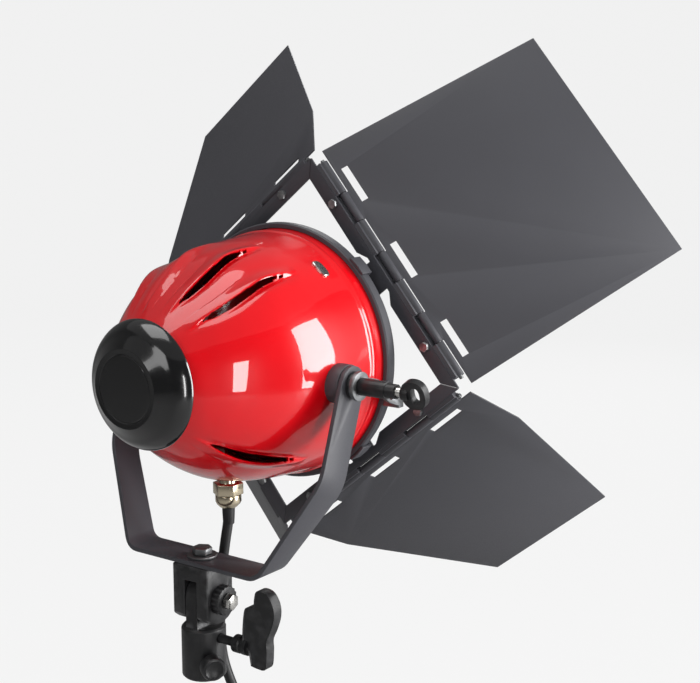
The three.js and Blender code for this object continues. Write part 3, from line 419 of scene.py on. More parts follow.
def softened(node, width, steps=2):
    """A piece with the node's own shape and rounded edges, in place of it."""
    source = NODES[node]
    slot = next(s["material_slot"] for s in frame["record"]["subparts"] if s["node"] == node)
    bm = bmesh.new()
    bm.from_mesh(source.data)
    bmesh.ops.remove_doubles(bm, verts=bm.verts, dist=1e-6)
    bmesh.ops.dissolve_limit(bm, angle_limit=math.radians(0.6), verts=bm.verts, edges=bm.edges)
    round_edges(bm, width, steps)
    mesh = from_bmesh(node + "_skin", bm)
    return place_piece(node + "_skin", mesh, source["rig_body"], slot, [node])


def metres(pairs):
    return [(first * MM, second * MM) for first, second in pairs]


def on_beam(radius, angle, station):
    """A point of the row frame from a radius, an angle and a station along the beam, in millimetres."""
    return BEAM @ Vector((radius * MM * math.cos(angle), radius * MM * math.sin(angle), station * MM))


def add_lathe(bm, profile, matrix, segments, closed=True, flutes=0, flute_depth=0.0):
    """Turns a profile of (radius, height) about local Z. Flutes cut evenly round its widest part."""
    widest = max(r for r, _ in profile)
    rings = []
    for radius, height in profile:
        if radius < 1e-7:
            rings.append([bm.verts.new(matrix @ Vector((0, 0, height)))])
            continue
        ring = []
        for i in range(segments):
            a = 2 * math.pi * i / segments
            dent = 0.0
            if flutes and radius > 0.8 * widest:
                dent = flute_depth * max(0.0, math.cos(flutes * a)) ** 2
            r = radius - dent
            ring.append(bm.verts.new(matrix @ Vector((r * math.cos(a), r * math.sin(a), height))))
        rings.append(ring)
    pairs = list(zip(rings, rings[1:])) + ([(rings[-1], rings[0])] if closed else [])
    for first, second in pairs:
        if len(first) == 1 and len(second) == 1:
            continue
        for i in range(segments):
            j = (i + 1) % segments
            corners = [first[i % len(first)], first[j % len(first)]]
            corners += [second[j % len(second)], second[i % len(second)]]
            unique = list(dict.fromkeys(corners))
            if len(unique) > 2:
                bm.faces.new(unique)


def turned(name, profile, matrix, body, slot, replaces=(), edge=None, **shape):
    """A turned piece with rounded edges."""
    sizes = bpy.context.scene.light_sizes
    bm = bmesh.new()
    segments = shape.pop("segments", sizes.segments)
    add_lathe(bm, metres(profile), matrix, segments, **shape)
    round_edges(bm, sizes.edge if edge is None else edge)
    return place_piece(name, from_bmesh(name, bm), body, slot, replaces)


def spline(points, count):
    """Evenly spaced points on a smooth curve through the points."""
    p = np.array([points[0], *points, points[-1]], float)
    p[0] = 2 * p[1] - p[2]
    p[-1] = 2 * p[-2] - p[-3]
    fine = []
    for i in range(1, len(p) - 2):
        for t in np.linspace(0, 1, 24, endpoint=False):
            a, b, c, d = p[i - 1 : i + 3]
            square = 2 * a - 5 * b + 4 * c - d
            cube = 3 * b - a - 3 * c + d
            fine.append(0.5 * (2 * b + (c - a) * t + square * t**2 + cube * t**3))
    fine.append(p[-2])
    return resampled(np.array(fine), count)


def resampled(points, count):
    steps = np.linalg.norm(np.diff(points, axis=0), axis=1)
    along = np.concatenate([[0], np.cumsum(steps)])
    wanted = np.linspace(0, along[-1], count)
    return np.stack([np.interp(wanted, along, points[:, k]) for k in range(3)], axis=1)


def oval(centre, half, power=1.0, count=48):
    """Points round an oval in a plane; a power under 1 squares its corners."""
    points = []
    for i in range(count):
        c, s = math.cos(2 * math.pi * i / count), math.sin(2 * math.pi * i / count)
        points.append((
            centre[0] + half[0] * math.copysign(abs(c) ** power, c),
            centre[1] + half[1] * math.copysign(abs(s) ** power, s),
        ))
    return points


def add_plate(bm, outline, matrix, half, hole=None):
    """A plate with an outline in local X and Z; a hole has as many points as the outline."""
    rings = (outline, hole or [])
    sides = [
        [[bm.verts.new(matrix @ Vector((u * MM, y * MM, v * MM))) for u, v in ring] for ring in rings]
        for y in (-half, half)
    ]
    count = len(outline)
    for k in range(count):
        m = (k + 1) % count
        for low, high in zip(*sides):
            if low:
                bm.faces.new((low[k], low[m], high[m], high[k]))
        if hole:
            for outer, inner in sides:
                bm.faces.new((outer[k], outer[m], inner[m], inner[k]))
    if not hole:
        return [bm.faces.new(outer) for outer, _ in sides]
    return []


def add_tube(bm, points, radius, sides=16, radii=None, loop=False):
    """A round tube along the points, its rings carried along without twist."""
    points = np.asarray(points, float)
    after = np.roll(points, -1, axis=0) if loop else np.vstack([points[1:], points[-1:]])
    before = np.roll(points, 1, axis=0) if loop else np.vstack([points[:1], points[:-1]])
    along = after - before
    along /= np.linalg.norm(along, axis=1)[:, None]
    side = np.cross(along[0], (0.3, 1.0, 0.2))
    rings = []
    for i, (p, t) in enumerate(zip(points, along)):
        side = side - t * side.dot(t)
        side /= np.linalg.norm(side)
        up = np.cross(t, side)
        r = radii[i] if radii is not None else radius
        turns = [2 * math.pi * k / sides for k in range(sides)]
        rings.append([bm.verts.new(p + r * (math.cos(a) * side + math.sin(a) * up)) for a in turns])
    pairs = list(zip(rings, rings[1:])) + ([(rings[-1], rings[0])] if loop else [])
    for first, second in pairs:
        for k in range(sides):
            m = (k + 1) % sides
            bm.faces.new((first[k], first[m], second[m], second[k]))
    if not loop:
        bm.faces.new(rings[0][::-1])
        bm.faces.new(rings[-1])


# Head

# Radius and station in millimetres, from the back edge to the front edge
SHELL_PROFILE = [
    (34, -48.5), (37, -46), (44.5, -38), (54.5, -26), (66, -9),
    (74.5, 9), (79.3, 29), (81.7, 46), (84, 70), (86, 88),
]
SHELL_BACK = -48.5
SHELL_FRONT = 88
SHELL_STEP = 1.3
BACK_RINGS = (9, 21, 33)
BACK_EDGE = [(33.6, -48.4), (34.4, -48.1)]
VENT_ANGLES = [52, 76, 104, 128, 226, 314]
VENT_START = -31
VENT_LENGTH = 64
VENT_SHARES = [0, 0.12, 0.28, 0.55, 0.8, 1]
VENT_HALVES = [0, 0.38, 0.5, 0.36, 0.18, 0]
VENT_WIDTH = 4.4
VENT_LEAN = 1.2
VENT_RUN_OUT = 0.12
VENT_FIELD = 9
VENT_BLEND = 0.9
VENT_LEAST = 0.35
HOOD_REACH = 6.0
SINK_REACH = 3.6
BEAD_STATION = 77
BEAD_REACH = 1.6


class LIGHT_OT_shell(bpy.types.Operator):
    """Build the lacquered shell with its pressed vents and its bead"""

    bl_idname = "light.shell"
    bl_label = "Shell"

    def columns(self):
        """Angles round the shell in degrees, closer together across the vents."""
        dense = {a + w for a in VENT_ANGLES for w in np.arange(-VENT_FIELD, VENT_FIELD + 0.01, 0.5)}
        clear = VENT_FIELD + 0.2
        coarse = {a for a in np.arange(0, 360, 2.0) if all(abs(a - v) > clear for v in VENT_ANGLES)}
        return np.array(sorted(dense | coarse))

    def execute(self, context):
        sizes = context.scene.light_sizes
        edge = [station for _, station in BACK_EDGE]
        along = np.arange(SHELL_BACK + 1.4, SHELL_FRONT + 0.01, SHELL_STEP)
        stations = np.concatenate([edge, along, [SHELL_FRONT]])
        angles = self.columns()
        profile = spline([(radius, 0, station) for radius, station in SHELL_PROFILE], 160)
        radii = np.interp(stations, profile[:, 2], profile[:, 0])
        radii[:2] = [radius for radius, _ in BACK_EDGE]
        radii += sizes.bead / MM * np.exp(-(((stations - BEAD_STATION) / BEAD_REACH) ** 2))
        turn = np.tile(angles, (len(stations), 1))
        radius = np.tile(radii[:, None], (1, len(angles)))
        holes = np.zeros(radius.shape, bool)
        share = (stations - VENT_START) / VENT_LENGTH
        for vent in VENT_ANGLES:
            for row, s in enumerate(share):
                if not -VENT_RUN_OUT < s < 1 + VENT_RUN_OUT:
                    continue
                lean = math.sin(2 * math.pi * min(max(s, 0), 1)) * VENT_LEAN
                across = (np.radians(angles - vent)) * radii[row] - lean
                upper = across if math.cos(math.radians(vent)) < 0 else -across
                upper = upper if math.sin(math.radians(vent)) > 0 else -upper
                half = np.interp(s, VENT_SHARES, VENT_HALVES) * VENT_WIDTH
                inside = np.clip((s + VENT_RUN_OUT) / (1 + 2 * VENT_RUN_OUT), 0, 1)
                swell = np.sin(math.pi * inside) ** 0.8
                beyond = np.abs(upper) - half
                high = sizes.vent_hood / MM * np.exp(-((np.maximum(beyond, 0) / HOOD_REACH) ** 2))
                low = sizes.vent_sink / MM * np.exp(-((np.maximum(beyond, 0) / SINK_REACH) ** 2))
                near = np.abs(np.degrees(across / radii[row])) < VENT_FIELD - 0.1
                blend = 0.5 + 0.5 * np.tanh(-upper / VENT_BLEND)
                radius[row] += near * swell * (high * blend - low * (1 - blend))
                if half > VENT_LEAST:
                    for side in (-half, half):
                        k = int(np.argmin(np.abs(across - side)))
                        turn[row, k] += math.degrees((side - across[k]) / radii[row])
                        across[k] = side
                    holes[row] |= np.abs(across) < half - 0.02
        bm = bmesh.new()
        grid = []
        for row, station in enumerate(stations):
            places = zip(radius[row], np.radians(turn[row]))
            grid.append([bm.verts.new(on_beam(r, t, station)) for r, t in places])
        back = [
            [bm.verts.new(on_beam(r, t, SHELL_BACK)) for t in np.radians(angles)] for r in BACK_RINGS
        ]
        grid = back + grid
        holes = np.vstack([np.zeros((len(back), len(angles)), bool), holes])
        count = len(angles)
        for row in range(len(grid) - 1):
            for k in range(count):
                m = (k + 1) % count
                if holes[row, k] or holes[row, m] or holes[row + 1, k] or holes[row + 1, m]:
                    continue
                bm.faces.new((grid[row][k], grid[row][m], grid[row + 1][m], grid[row + 1][k]))
        for v in [v for v in bm.verts if not v.link_faces]:
            bm.verts.remove(v)
        bmesh.ops.recalc_face_normals(bm, faces=bm.faces)
        outwards = BEAM.inverted().to_3x3() @ bm.faces[-1].normal
        centre = BEAM.inverted() @ bm.faces[-1].calc_center_median()
        if outwards.x * centre.x + outwards.y * centre.y < 0:
            bmesh.ops.reverse_faces(bm, faces=bm.faces)
        mesh = bpy.data.meshes.new("shell")
        bm.to_mesh(mesh)
        bm.free()
        thick = bpy.data.objects.new("shell_draft", mesh)
        context.scene.collection.objects.link(thick)
        solidify = thick.modifiers.new("Wall", "SOLIDIFY")
        solidify.thickness = sizes.wall
        solidify.offset = -1
        walled = bpy.data.meshes.new_from_object(thick.evaluated_get(context.evaluated_depsgraph_get()))
        bpy.data.objects.remove(thick)
        walled.materials.clear()
        place_piece("head_shell_skin", smooth(walled, 50), "head", "red_lacquer", ["head_shell"])
        return {"FINISHED"}


# Radius and station in millimetres
RIM_PROFILE = [(86.3, 86.5), (89, 86.5), (90, 87.5), (90, 92), (76, 92), (76, 90.2), (86.3, 90.2)]
BOWL_FLANGE = [(86, 89.4), (86, 88.3), (84.2, 88.3)]
BOWL_MOUTH = 80
BOWL_DEPTH = 85.4
SLOT_PLACE = (0, -0.0335, 0)
SLOT_SIZE = (0.118, 0.067, 0.022, 1)
GUARD_STATION = 0.0935
GUARD_RADIUS = 0.0785
GUARD_PLACES = (-0.04, 0, 0.04)
GUARD_WIRE = 0.00115
LATCH_TURN = math.radians(129.5)
LATCH_STATION = 62
LATCH_RADIUS = 83.9
LATCH_HALVES = (7.0, 3.8)
# How far each layer lies over the shell, and its share of the outline
LATCH_LAYERS = ((-1.5, 1.0), (0.1, 1.0), (0.6, 0.9), (0.7, 0.55))


class LIGHT_OT_front(bpy.types.Operator):
    """Build the rim, the reflector, the wire guard and the small latch on the shell"""

    bl_idname = "light.front"
    bl_label = "Rim and reflector"

    def reflector(self):
        """A peened paraboloid with a flange and a slot for the lamp."""
        throat = BOWL_MOUTH * math.sqrt(8 / BOWL_DEPTH)
        radii = np.linspace(throat, BOWL_MOUTH, 40)
        curve = [(r, 4 + BOWL_DEPTH * (r / BOWL_MOUTH) ** 2) for r in radii]
        back = [(r, s - 2) for r, s in reversed(curve)]
        bm = bmesh.new()
        add_lathe(bm, metres([*curve, *BOWL_FLANGE, *back]), BEAM, 128)
        dish = bpy.data.objects.new("reflector_draft", from_bmesh("reflector_draft", bm))
        bm = bmesh.new()
        room = HEAD @ Matrix.Translation(SLOT_PLACE) @ Matrix.Diagonal(SLOT_SIZE)
        bmesh.ops.create_cube(bm, size=1, matrix=room)
        slot = bpy.data.objects.new("slot_draft", from_bmesh("slot_draft", bm))
        for draft in (dish, slot):
            bpy.context.scene.collection.objects.link(draft)
        cutter = dish.modifiers.new("Slot", "BOOLEAN")
        cutter.operation = "DIFFERENCE"
        cutter.solver = "EXACT"
        cutter.object = slot
        mesh = bpy.data.meshes.new_from_object(dish.evaluated_get(bpy.context.evaluated_depsgraph_get()))
        bpy.data.objects.remove(dish)
        bpy.data.objects.remove(slot)
        mesh.materials.clear()
        place_piece("reflector_skin", smooth(mesh, 40), "head", "polished_reflector", ["reflector"])

    def guard(self):
        """A square grille of straight wires."""
        bm = bmesh.new()
        for place in GUARD_PLACES:
            half = math.sqrt(GUARD_RADIUS**2 - place**2)
            for ends in ([(-half, place), (half, place)], [(place, -half), (place, half)]):
                wire = [tuple(BEAM @ Vector((x, z, GUARD_STATION))) for x, z in ends]
                add_tube(bm, wire, GUARD_WIRE, 16)
        place_piece("wire_guard_skin", from_bmesh("wire_guard", bm), "head", "grey_steel", ["wire_guard"])

    def latch(self):
        """A small bright latch plate that lies on the shell near the rim."""
        bm = bmesh.new()
        layers = []
        for lift, share in LATCH_LAYERS:
            places = [
                (LATCH_TURN + across / LATCH_RADIUS * share, LATCH_STATION + along * share)
                for across, along in oval((0, 0), LATCH_HALVES, 0.6, 20)
            ]
            layers.append([bm.verts.new(on_beam(LATCH_RADIUS + lift, t, s)) for t, s in places])
        for low, high in zip(layers, layers[1:]):
            for k in range(len(low)):
                m = (k + 1) % len(low)
                bm.faces.new((low[k], low[m], high[m], high[k]))
        bm.faces.new(layers[0][::-1])
        bm.faces.new(layers[-1])
        place_piece("shell_latch", from_bmesh("shell_latch", bm), "head", "bright_steel")

    def execute(self, context):
        turned("front_rim_skin", RIM_PROFILE, BEAM, "head", "sheet_black", ["front_rim"], edge=0.0004)
        self.reflector()
        self.guard()
        self.latch()
        for node in [f"ring_claw_{i}" for i in range(1, 5)]:
            softened(node, context.scene.light_sizes.sheet_edge)
        return {"FINISHED"}


LAMP_Y = -0.038
FILAMENT_RADIUS = 0.0011
FILAMENT_WIRE = 0.0003
# In radians to the metre
FILAMENT_WINDING = 2900


class LIGHT_OT_inside(bpy.types.Operator):
    """Finish the lamp, its carriage, the guide rods and the wiring pieces inside"""

    bl_idname = "light.inside"
    bl_label = "Inside pieces"

    def execute(self, context):
        bm = bmesh.new()
        across = HEAD @ Matrix.Translation((0, LAMP_Y, 0)) @ Matrix.Rotation(math.pi / 2, 4, "Y")
        end = [(5 * math.sin(a), 37 - 3 * math.cos(a)) for a in np.linspace(math.pi / 2, 0.7, 8)]
        half = [*end, (3, 37), (3, 40), (0, 40)]
        profile = [*[(r, -h) for r, h in reversed(half)], *half]
        add_lathe(bm, metres(profile), across, 48, closed=False)
        place_piece("lamp_tube_skin", from_bmesh("lamp_tube", bm), "carriage", "quartz", ["lamp_tube"])
        bm = bmesh.new()
        coil = []
        for x in np.linspace(-0.031, 0.031, 260):
            y = LAMP_Y + FILAMENT_RADIUS * math.cos(x * FILAMENT_WINDING)
            z = FILAMENT_RADIUS * math.sin(x * FILAMENT_WINDING)
            coil.append(tuple(HEAD @ Vector((x, y, z))))
        add_tube(bm, coil, FILAMENT_WIRE, 6)
        place_piece("lamp_filament", from_bmesh("lamp_filament", bm), "carriage", "bright_steel")
        for node, width in (
            ("lamp_carriage", 0.0003), ("lamp_holder_near", 0.0012), ("lamp_holder_far", 0.0012),
            ("focus_bush", 0.0003), ("focus_screw", 0.0004), ("guide_rod_near", 0.0003),
            ("guide_rod_far", 0.0003), ("terminal_block", 0.0008), ("gland_lock_nut", 0.0004),
        ):
            softened(node, width)
        return {"FINISHED"}


# Barndoor

# Radius and height in millimetres
DOOR_RING = [
    (81, 92.4), (89.4, 92.4), (89.4, 95), (83.4, 95), (83, 95.4), (83, 103.4), (83.4, 104), (81, 104),
]
WASHER = [(0, 0), (3.9, 0), (3.9, 0.6), (0, 0.6)]
SCREW_HEAD = [(0, 0.6), (3, 0.6), (3, 1.7), (2.6, 2.3), (1.7, 2.7), (0.9, 2.8), (0.9, 2.0), (0, 1.9)]
NUT = [(0, 0), (3.2, 0), (3.4, 0.3), (3.4, 2.4), (0, 2.4)]
# Places on a side of the barndoor, in metres
LOBE_X = 0.0905
LOBE_SIDES = (-0.059, 0.059)
LOBE_FRONT = 0.1057
LOBE_BACK = 0.1019
FOLD_PLACES = [(0.0943, side, 0.1078) for side in (-0.05, 0, 0.05)]
FOLD_SIZE = (0.0013, 0.0241, 0.0054, 1)


class LIGHT_OT_barndoor(bpy.types.Operator):
    """Build the barndoor's ring, hinge frames with their fasteners, pins and leaves"""

    bl_idname = "light.barndoor"
    bl_label = "Barndoor"

    def side_of_door(self, index):
        """The frame of one side of the barndoor: local X runs out from the beam to its leaf."""
        return BEAM @ Matrix.Rotation(math.radians(DOOR_TURN + 90 * index), 4, "Z")

    def fasteners(self, index):
        """Two pan-head screws, each with a washer and a nut, on a frame's lobes."""
        turn = self.side_of_door(index)
        bm = bmesh.new()
        for side in LOBE_SIDES:
            front = turn @ Matrix.Translation((LOBE_X, side, LOBE_FRONT))
            for profile in (WASHER, SCREW_HEAD):
                add_lathe(bm, metres(profile), front, 32, closed=False)
            back = turn @ Matrix.Translation((LOBE_X, side, LOBE_BACK))
            add_lathe(bm, metres(NUT), back, 6, closed=False)
        round_edges(bm, 0.00015, 1)
        place_piece(f"hinge_fasteners_{index + 1}", from_bmesh("hinge_fasteners", bm), "door", "grey_steel")

    def fold(self, index):
        """The frame's folded edge behind the leaf's knuckles."""
        turn = self.side_of_door(index)
        bm = bmesh.new()
        for place in FOLD_PLACES:
            spot = turn @ Matrix.Translation(place)
            bmesh.ops.create_cube(bm, size=1, matrix=spot @ Matrix.Diagonal(FOLD_SIZE))
        place_piece(f"hinge_fold_{index + 1}", from_bmesh("hinge_fold", bm), "door", "sheet_black")

    def execute(self, context):
        sizes = context.scene.light_sizes
        turned("door_ring_skin", DOOR_RING, BEAM, "door", "sheet_black", ["door_ring"], edge=0.0004)
        for index in range(4):
            softened(f"hinge_frame_{index + 1}", sizes.sheet_edge)
            softened(f"hinge_pin_{index + 1}", 0.0004)
            self.fasteners(index)
            self.fold(index)
        for node in LEAVES:
            softened(node, sizes.sheet_edge)
        return {"FINISHED"}


# Yoke, bracket and controls

class LIGHT_OT_yoke(bpy.types.Operator):
    """Round the yoke, the tilt pivots, the side brackets and the tilting block"""

    bl_idname = "light.yoke"
    bl_label = "Yoke and pivots"

    def execute(self, context):
        for node, width in (
            ("yoke_strap", 0.0005), ("base_washer", 0.0003), ("base_bolt", 0.0006), ("tilt_block", 0.0012),
            ("rosette_disc", 0.0003), ("rosette_bolt", 0.0006), ("rosette_nut", 0.0006),
            ("friction_disc_near", 0.0003), ("friction_disc_far", 0.0003), ("pivot_boss_near", 0.0006),
            ("pivot_boss_far", 0.0006), ("side_bracket_near", 0.0005), ("side_bracket_far", 0.0005),
            ("pivot_bolt_far", 0.0005),
        ):
            softened(node, width)
        return {"FINISHED"}


LOCK_PLACE = (-0.1301, 0, 0)
LOCK_TURN = math.radians(-17)
HANDLE_PLACE = (0, 0, 0.029)
CLAMP_PLACE = (0, 0, 0.0135)
CLAMP_TURN = math.radians(146)
# Radius and height in millimetres
KNOB_FACE = [
    (0, -67.2), (20.6, -67.2), (20.9, -66.95), (21.4, -66.95), (21.7, -67.25), (23.2, -67.3), (24.2, -67.48),
]
KNOB_SWELL = [(25, -67.5), (31.9, -62.4), (36.2, -59.5), (39.7, -55.4), (41.5, -51.6), (41, -50)]
KNOB_HOLLOW = [(39.5, -50), (38.9, -52), (12, -52), (12, -50), (0, -50)]
LOCK_HUB = [(0, 0.1), (4.2, 0.1), (4.8, 0.7), (4.8, 4), (4.2, 5.4), (0, 5.4)]
BLADE_HUB = [
    (0, 28), (5.4, 28), (6, 28.6), (6, 33.4), (5.2, 34.2), (5.2, 35.2), (6, 36), (6, 40), (0, 40),
]
BLADE_SCREW = [(0, 8.2), (3, 8.2), (3, 28.1), (0, 28.1)]
CLAMP_KNOB = [
    (0, 8.2), (3, 8.2), (3, 18), (6.7, 18), (8.2, 19.5), (8.2, 25), (7.4, 26.6), (6, 27), (5, 26.2),
    (0, 25.6),
]
# Out from the socket's axis, and up from the handle's
BLADE_OUTLINE = [
    (44, -11), (50, -11.6), (56, -10.4), (57.4, 1), (57.2, 8.4), (60.6, 16), (63.6, 25.5), (62.8, 34),
    (57.5, 41), (49.5, 41.4), (47.4, 36), (46.2, 30), (40, 28), (38, 21), (37, 8), (38, 1.6), (42, -2),
]


class LIGHT_OT_controls(bpy.types.Operator):
    """Build the focus knob, the tilt lock, the wing handle, the clamp knob and the stand socket"""

    bl_idname = "light.controls"
    bl_label = "Knobs and socket"

    def focus_knob(self):
        """A domed knob with a fine groove round its face and a hollow towards the shell."""
        side = spline([(r, 0, h) for r, h in KNOB_SWELL], 24)
        profile = [*KNOB_FACE, *[(r, h) for r, _, h in side], *KNOB_HOLLOW]
        turned(
            "focus_knob_skin", profile, BEAM, "focus", "gloss_black", ["focus_knob"],
            edge=0.0003, closed=False,
        )

    def lock_knob(self):
        """A flat moulded loop on a hub, on the tilt lock's stud."""
        spot = PIVOT @ Matrix.Rotation(LOCK_TURN, 4, "X") @ Matrix.Translation(LOCK_PLACE)
        bm = bmesh.new()
        add_plate(bm, oval((-9.2, 0), (8.8, 9.6), 0.85), spot, 2.6, oval((-10.6, 0), (3.3, 5.4), 0.8))
        round_edges(bm, 0.0016, 4)
        along = spot @ Matrix.Rotation(-math.pi / 2, 4, "Y")
        add_lathe(bm, metres(LOCK_HUB), along, 48, closed=False)
        mesh = from_bmesh("lock_knob", bm)
        place_piece("tilt_lock_knob_skin", mesh, "tilt_lock", "moulded_black", ["tilt_lock_knob"])

    def wing_handle(self):
        """A moulded blade with a recess on each side, its hub and its screw."""
        spot = Matrix.Translation(HANDLE_PLACE) @ Matrix.Rotation(math.pi, 4, "Z")
        outline = [(u, 0, v) for u, v in BLADE_OUTLINE]
        smooth_outline = spline([*outline, outline[0]], 73)[:-1]
        bm = bmesh.new()
        sides = add_plate(bm, [(u, v) for u, _, v in smooth_outline], spot, 3.9)
        bmesh.ops.inset_region(bm, faces=sides, thickness=0.0026)
        bmesh.ops.inset_region(bm, faces=sides, thickness=0.0007, depth=-0.0009)
        round_edges(bm, 0.0009, 3, 50)
        along = spot @ Matrix.Rotation(math.pi / 2, 4, "Y")
        for profile in (BLADE_HUB, BLADE_SCREW):
            add_lathe(bm, metres(profile), along, 48, closed=False)
        mesh = from_bmesh("wing_handle", bm)
        place_piece("wing_handle_skin", mesh, "spigot_lock", "moulded_black", ["wing_handle"])

    def execute(self, context):
        sizes = context.scene.light_sizes
        self.focus_knob()
        self.lock_knob()
        self.wing_handle()
        softened("lock_bush", 0.0005)
        softened("tilt_lock_stud", 0.0003)
        spot = Matrix.Translation(CLAMP_PLACE) @ Matrix.Rotation(CLAMP_TURN, 4, "Z")
        along = spot @ Matrix.Rotation(math.pi / 2, 4, "Y")
        turned(
            "clamp_knob_skin", CLAMP_KNOB, along, "spigot_clamp", "moulded_black", ["clamp_knob"],
            edge=0.0004, closed=False, segments=64,
        )
        softened("stand_socket", sizes.edge, 3)
        for node in ("gland_body", "gland_nut"):
            softened(node, 0.0005)
        return {"FINISHED"}


# Cord

def coil_points(per_turn=32):
    """The coil's centreline: layers that spiral in and out, and a short straight tail."""
    turns = COIL_LAYERS * COIL_TURNS + 0.25
    points = []
    for i in range(int(turns * per_turn) + 1):
        turn = i / per_turn
        layer = min(int(turn // COIL_TURNS), COIL_LAYERS - 1)
        inside = turn - layer * COIL_TURNS
        drawn = inside if layer % 2 == 0 else COIL_TURNS - inside
        nearest = round(turn / COIL_TURNS)
        past = (turn - nearest * COIL_TURNS) / 0.25
        climbing = 0 < nearest < COIL_LAYERS and abs(past) < 1
        level = nearest - (1 - past) / 2 if climbing else layer
        radius = COIL_OUTER - drawn * COIL_PITCH
        angle = math.pi / 2 - 2 * math.pi * turn
        points.append((
            COIL_CENTRE[0] + radius * math.cos(angle),
            COIL_CENTRE[1] - level * COIL_PITCH,
            COIL_CENTRE[2] + radius * math.sin(angle),
        ))
    x, y, z = points[-1]
    return points + [(x, y, z - COIL_TAIL * k / 4) for k in range(1, 5)]


# Radius and height in millimetres
SLEEVE = [(3.6, 8), (3.8, 8.2), (4, 11), (4.2, 15), (4.4, 20.1), (3.6, 20.1)]
PLUG_BODY = [
    (0, 0), (15.6, 0), (16.6, 0.8), (17, 2.2), (17, 14.5), (16.4, 15.5), (16.4, 16.5), (16.8, 17.3),
    (15.2, 20.8), (12.6, 24), (9.2, 27), (7.2, 30), (6.5, 33.9), (0, 33.9),
]
PLUG_PIN = [(0, -19), (1.4, -19), (2.1, -18.4), (2.4, -17.2), (2.4, 0.2), (0, 0.2)]
PLUG_HEIGHT = 0.034
PIN_OFFSET = 0.0095
SLEEVE_PLACE = (0, -0.0273, 0.0907)


class LIGHT_OT_cord(bpy.types.Operator):
    """Build the mains cord, its sleeve at the gland, its tie and its plug"""

    bl_idname = "light.cord"
    bl_label = "Cord and plug"

    def execute(self, context):
        radius = context.scene.light_sizes.cord / 2
        upper = spline(UPPER_ROUTE, 40)
        bm = bmesh.new()
        add_tube(bm, upper, radius, 24)
        mesh = from_bmesh("cord_upper", bm, 60)
        flex = place_piece("cord_upper_skin", mesh, None, "rubber", ["cord_upper"])
        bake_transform(flex)

        lower = np.vstack([spline(LOWER_ROUTE, 70), coil_points()])
        bm = bmesh.new()
        add_tube(bm, lower, radius, 20)
        mesh = from_bmesh("cord_lower", bm, 60)
        lead = place_piece("cord_lower_skin", mesh, None, "rubber", ["cord_lower", "cord_coil"])
        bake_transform(lead)

        tie = softened("cord_tie", 0.0005)
        plug = self.plug(lower[-1])

        place = Matrix.Translation(SLEEVE_PLACE)
        turned("cord_sleeve", SLEEVE, place, "head", "rubber", edge=0.0002, segments=48)
        return {"FINISHED"}

    def plug(self, end):
        """A round moulded plug with grip ribs and two pins, hanging from the cord's end."""
        place = Matrix.Translation((end[0], end[1], end[2] - PLUG_HEIGHT))
        bm = bmesh.new()
        add_lathe(bm, metres(PLUG_BODY), place, 96, closed=False, flutes=24, flute_depth=0.0006)
        for x in (-PIN_OFFSET, PIN_OFFSET):
            spot = place @ Matrix.Translation((x, 0, 0))
            add_lathe(bm, metres(PLUG_PIN), spot, 32, closed=False)
        round_edges(bm, 0.0003)
        return place_piece("plug_skin", from_bmesh("plug", bm), "base", "rubber", ["plug"])


# Stage

# The photograph's view; lens and sensor in millimetres
CAMERA_PLACE = (-0.5767, 0.6378, 0.3813)
CAMERA_RIGHT = (-0.8135, -0.5815, 0)
CAMERA_AHEAD = (0.5724, -0.8007, -0.1765)
CAMERA_LENS = 69.08
CAMERA_SENSOR = 36
LIGHT_TARGET = (0, -0.05, 0.2)
# Name, place, width, height and power in watts
SOFTBOXES = (
    ("side_box", (-1.16, -0.63, 0.37), 0.45, 1.16, 24),
    ("strip_box", (-1.2, 0.53, 0.2), 0.12, 0.7, 4),
    ("top_box", (0.3, 0.2, 2.2), 1.4, 1.4, 19),
    ("camera_box", (-0.2, 2.2, 1.3), 1.0, 1.0, 10),
    ("front_box", (0.8, -2.2, 1.0), 1.2, 1.2, 15),
)
FLOOR = -0.235
FLOOR_RADII = (0, 0.6, 1.6)
COVE_START = 3.2
COVE_RADIUS = 1.0
WALL_TOP = (4.2, 3.4)
# The backdrop's glow as the camera sees it, and the world's strength as a light
BACKDROP_GLOW = 0.88
WORLD_LIGHT = 0.3


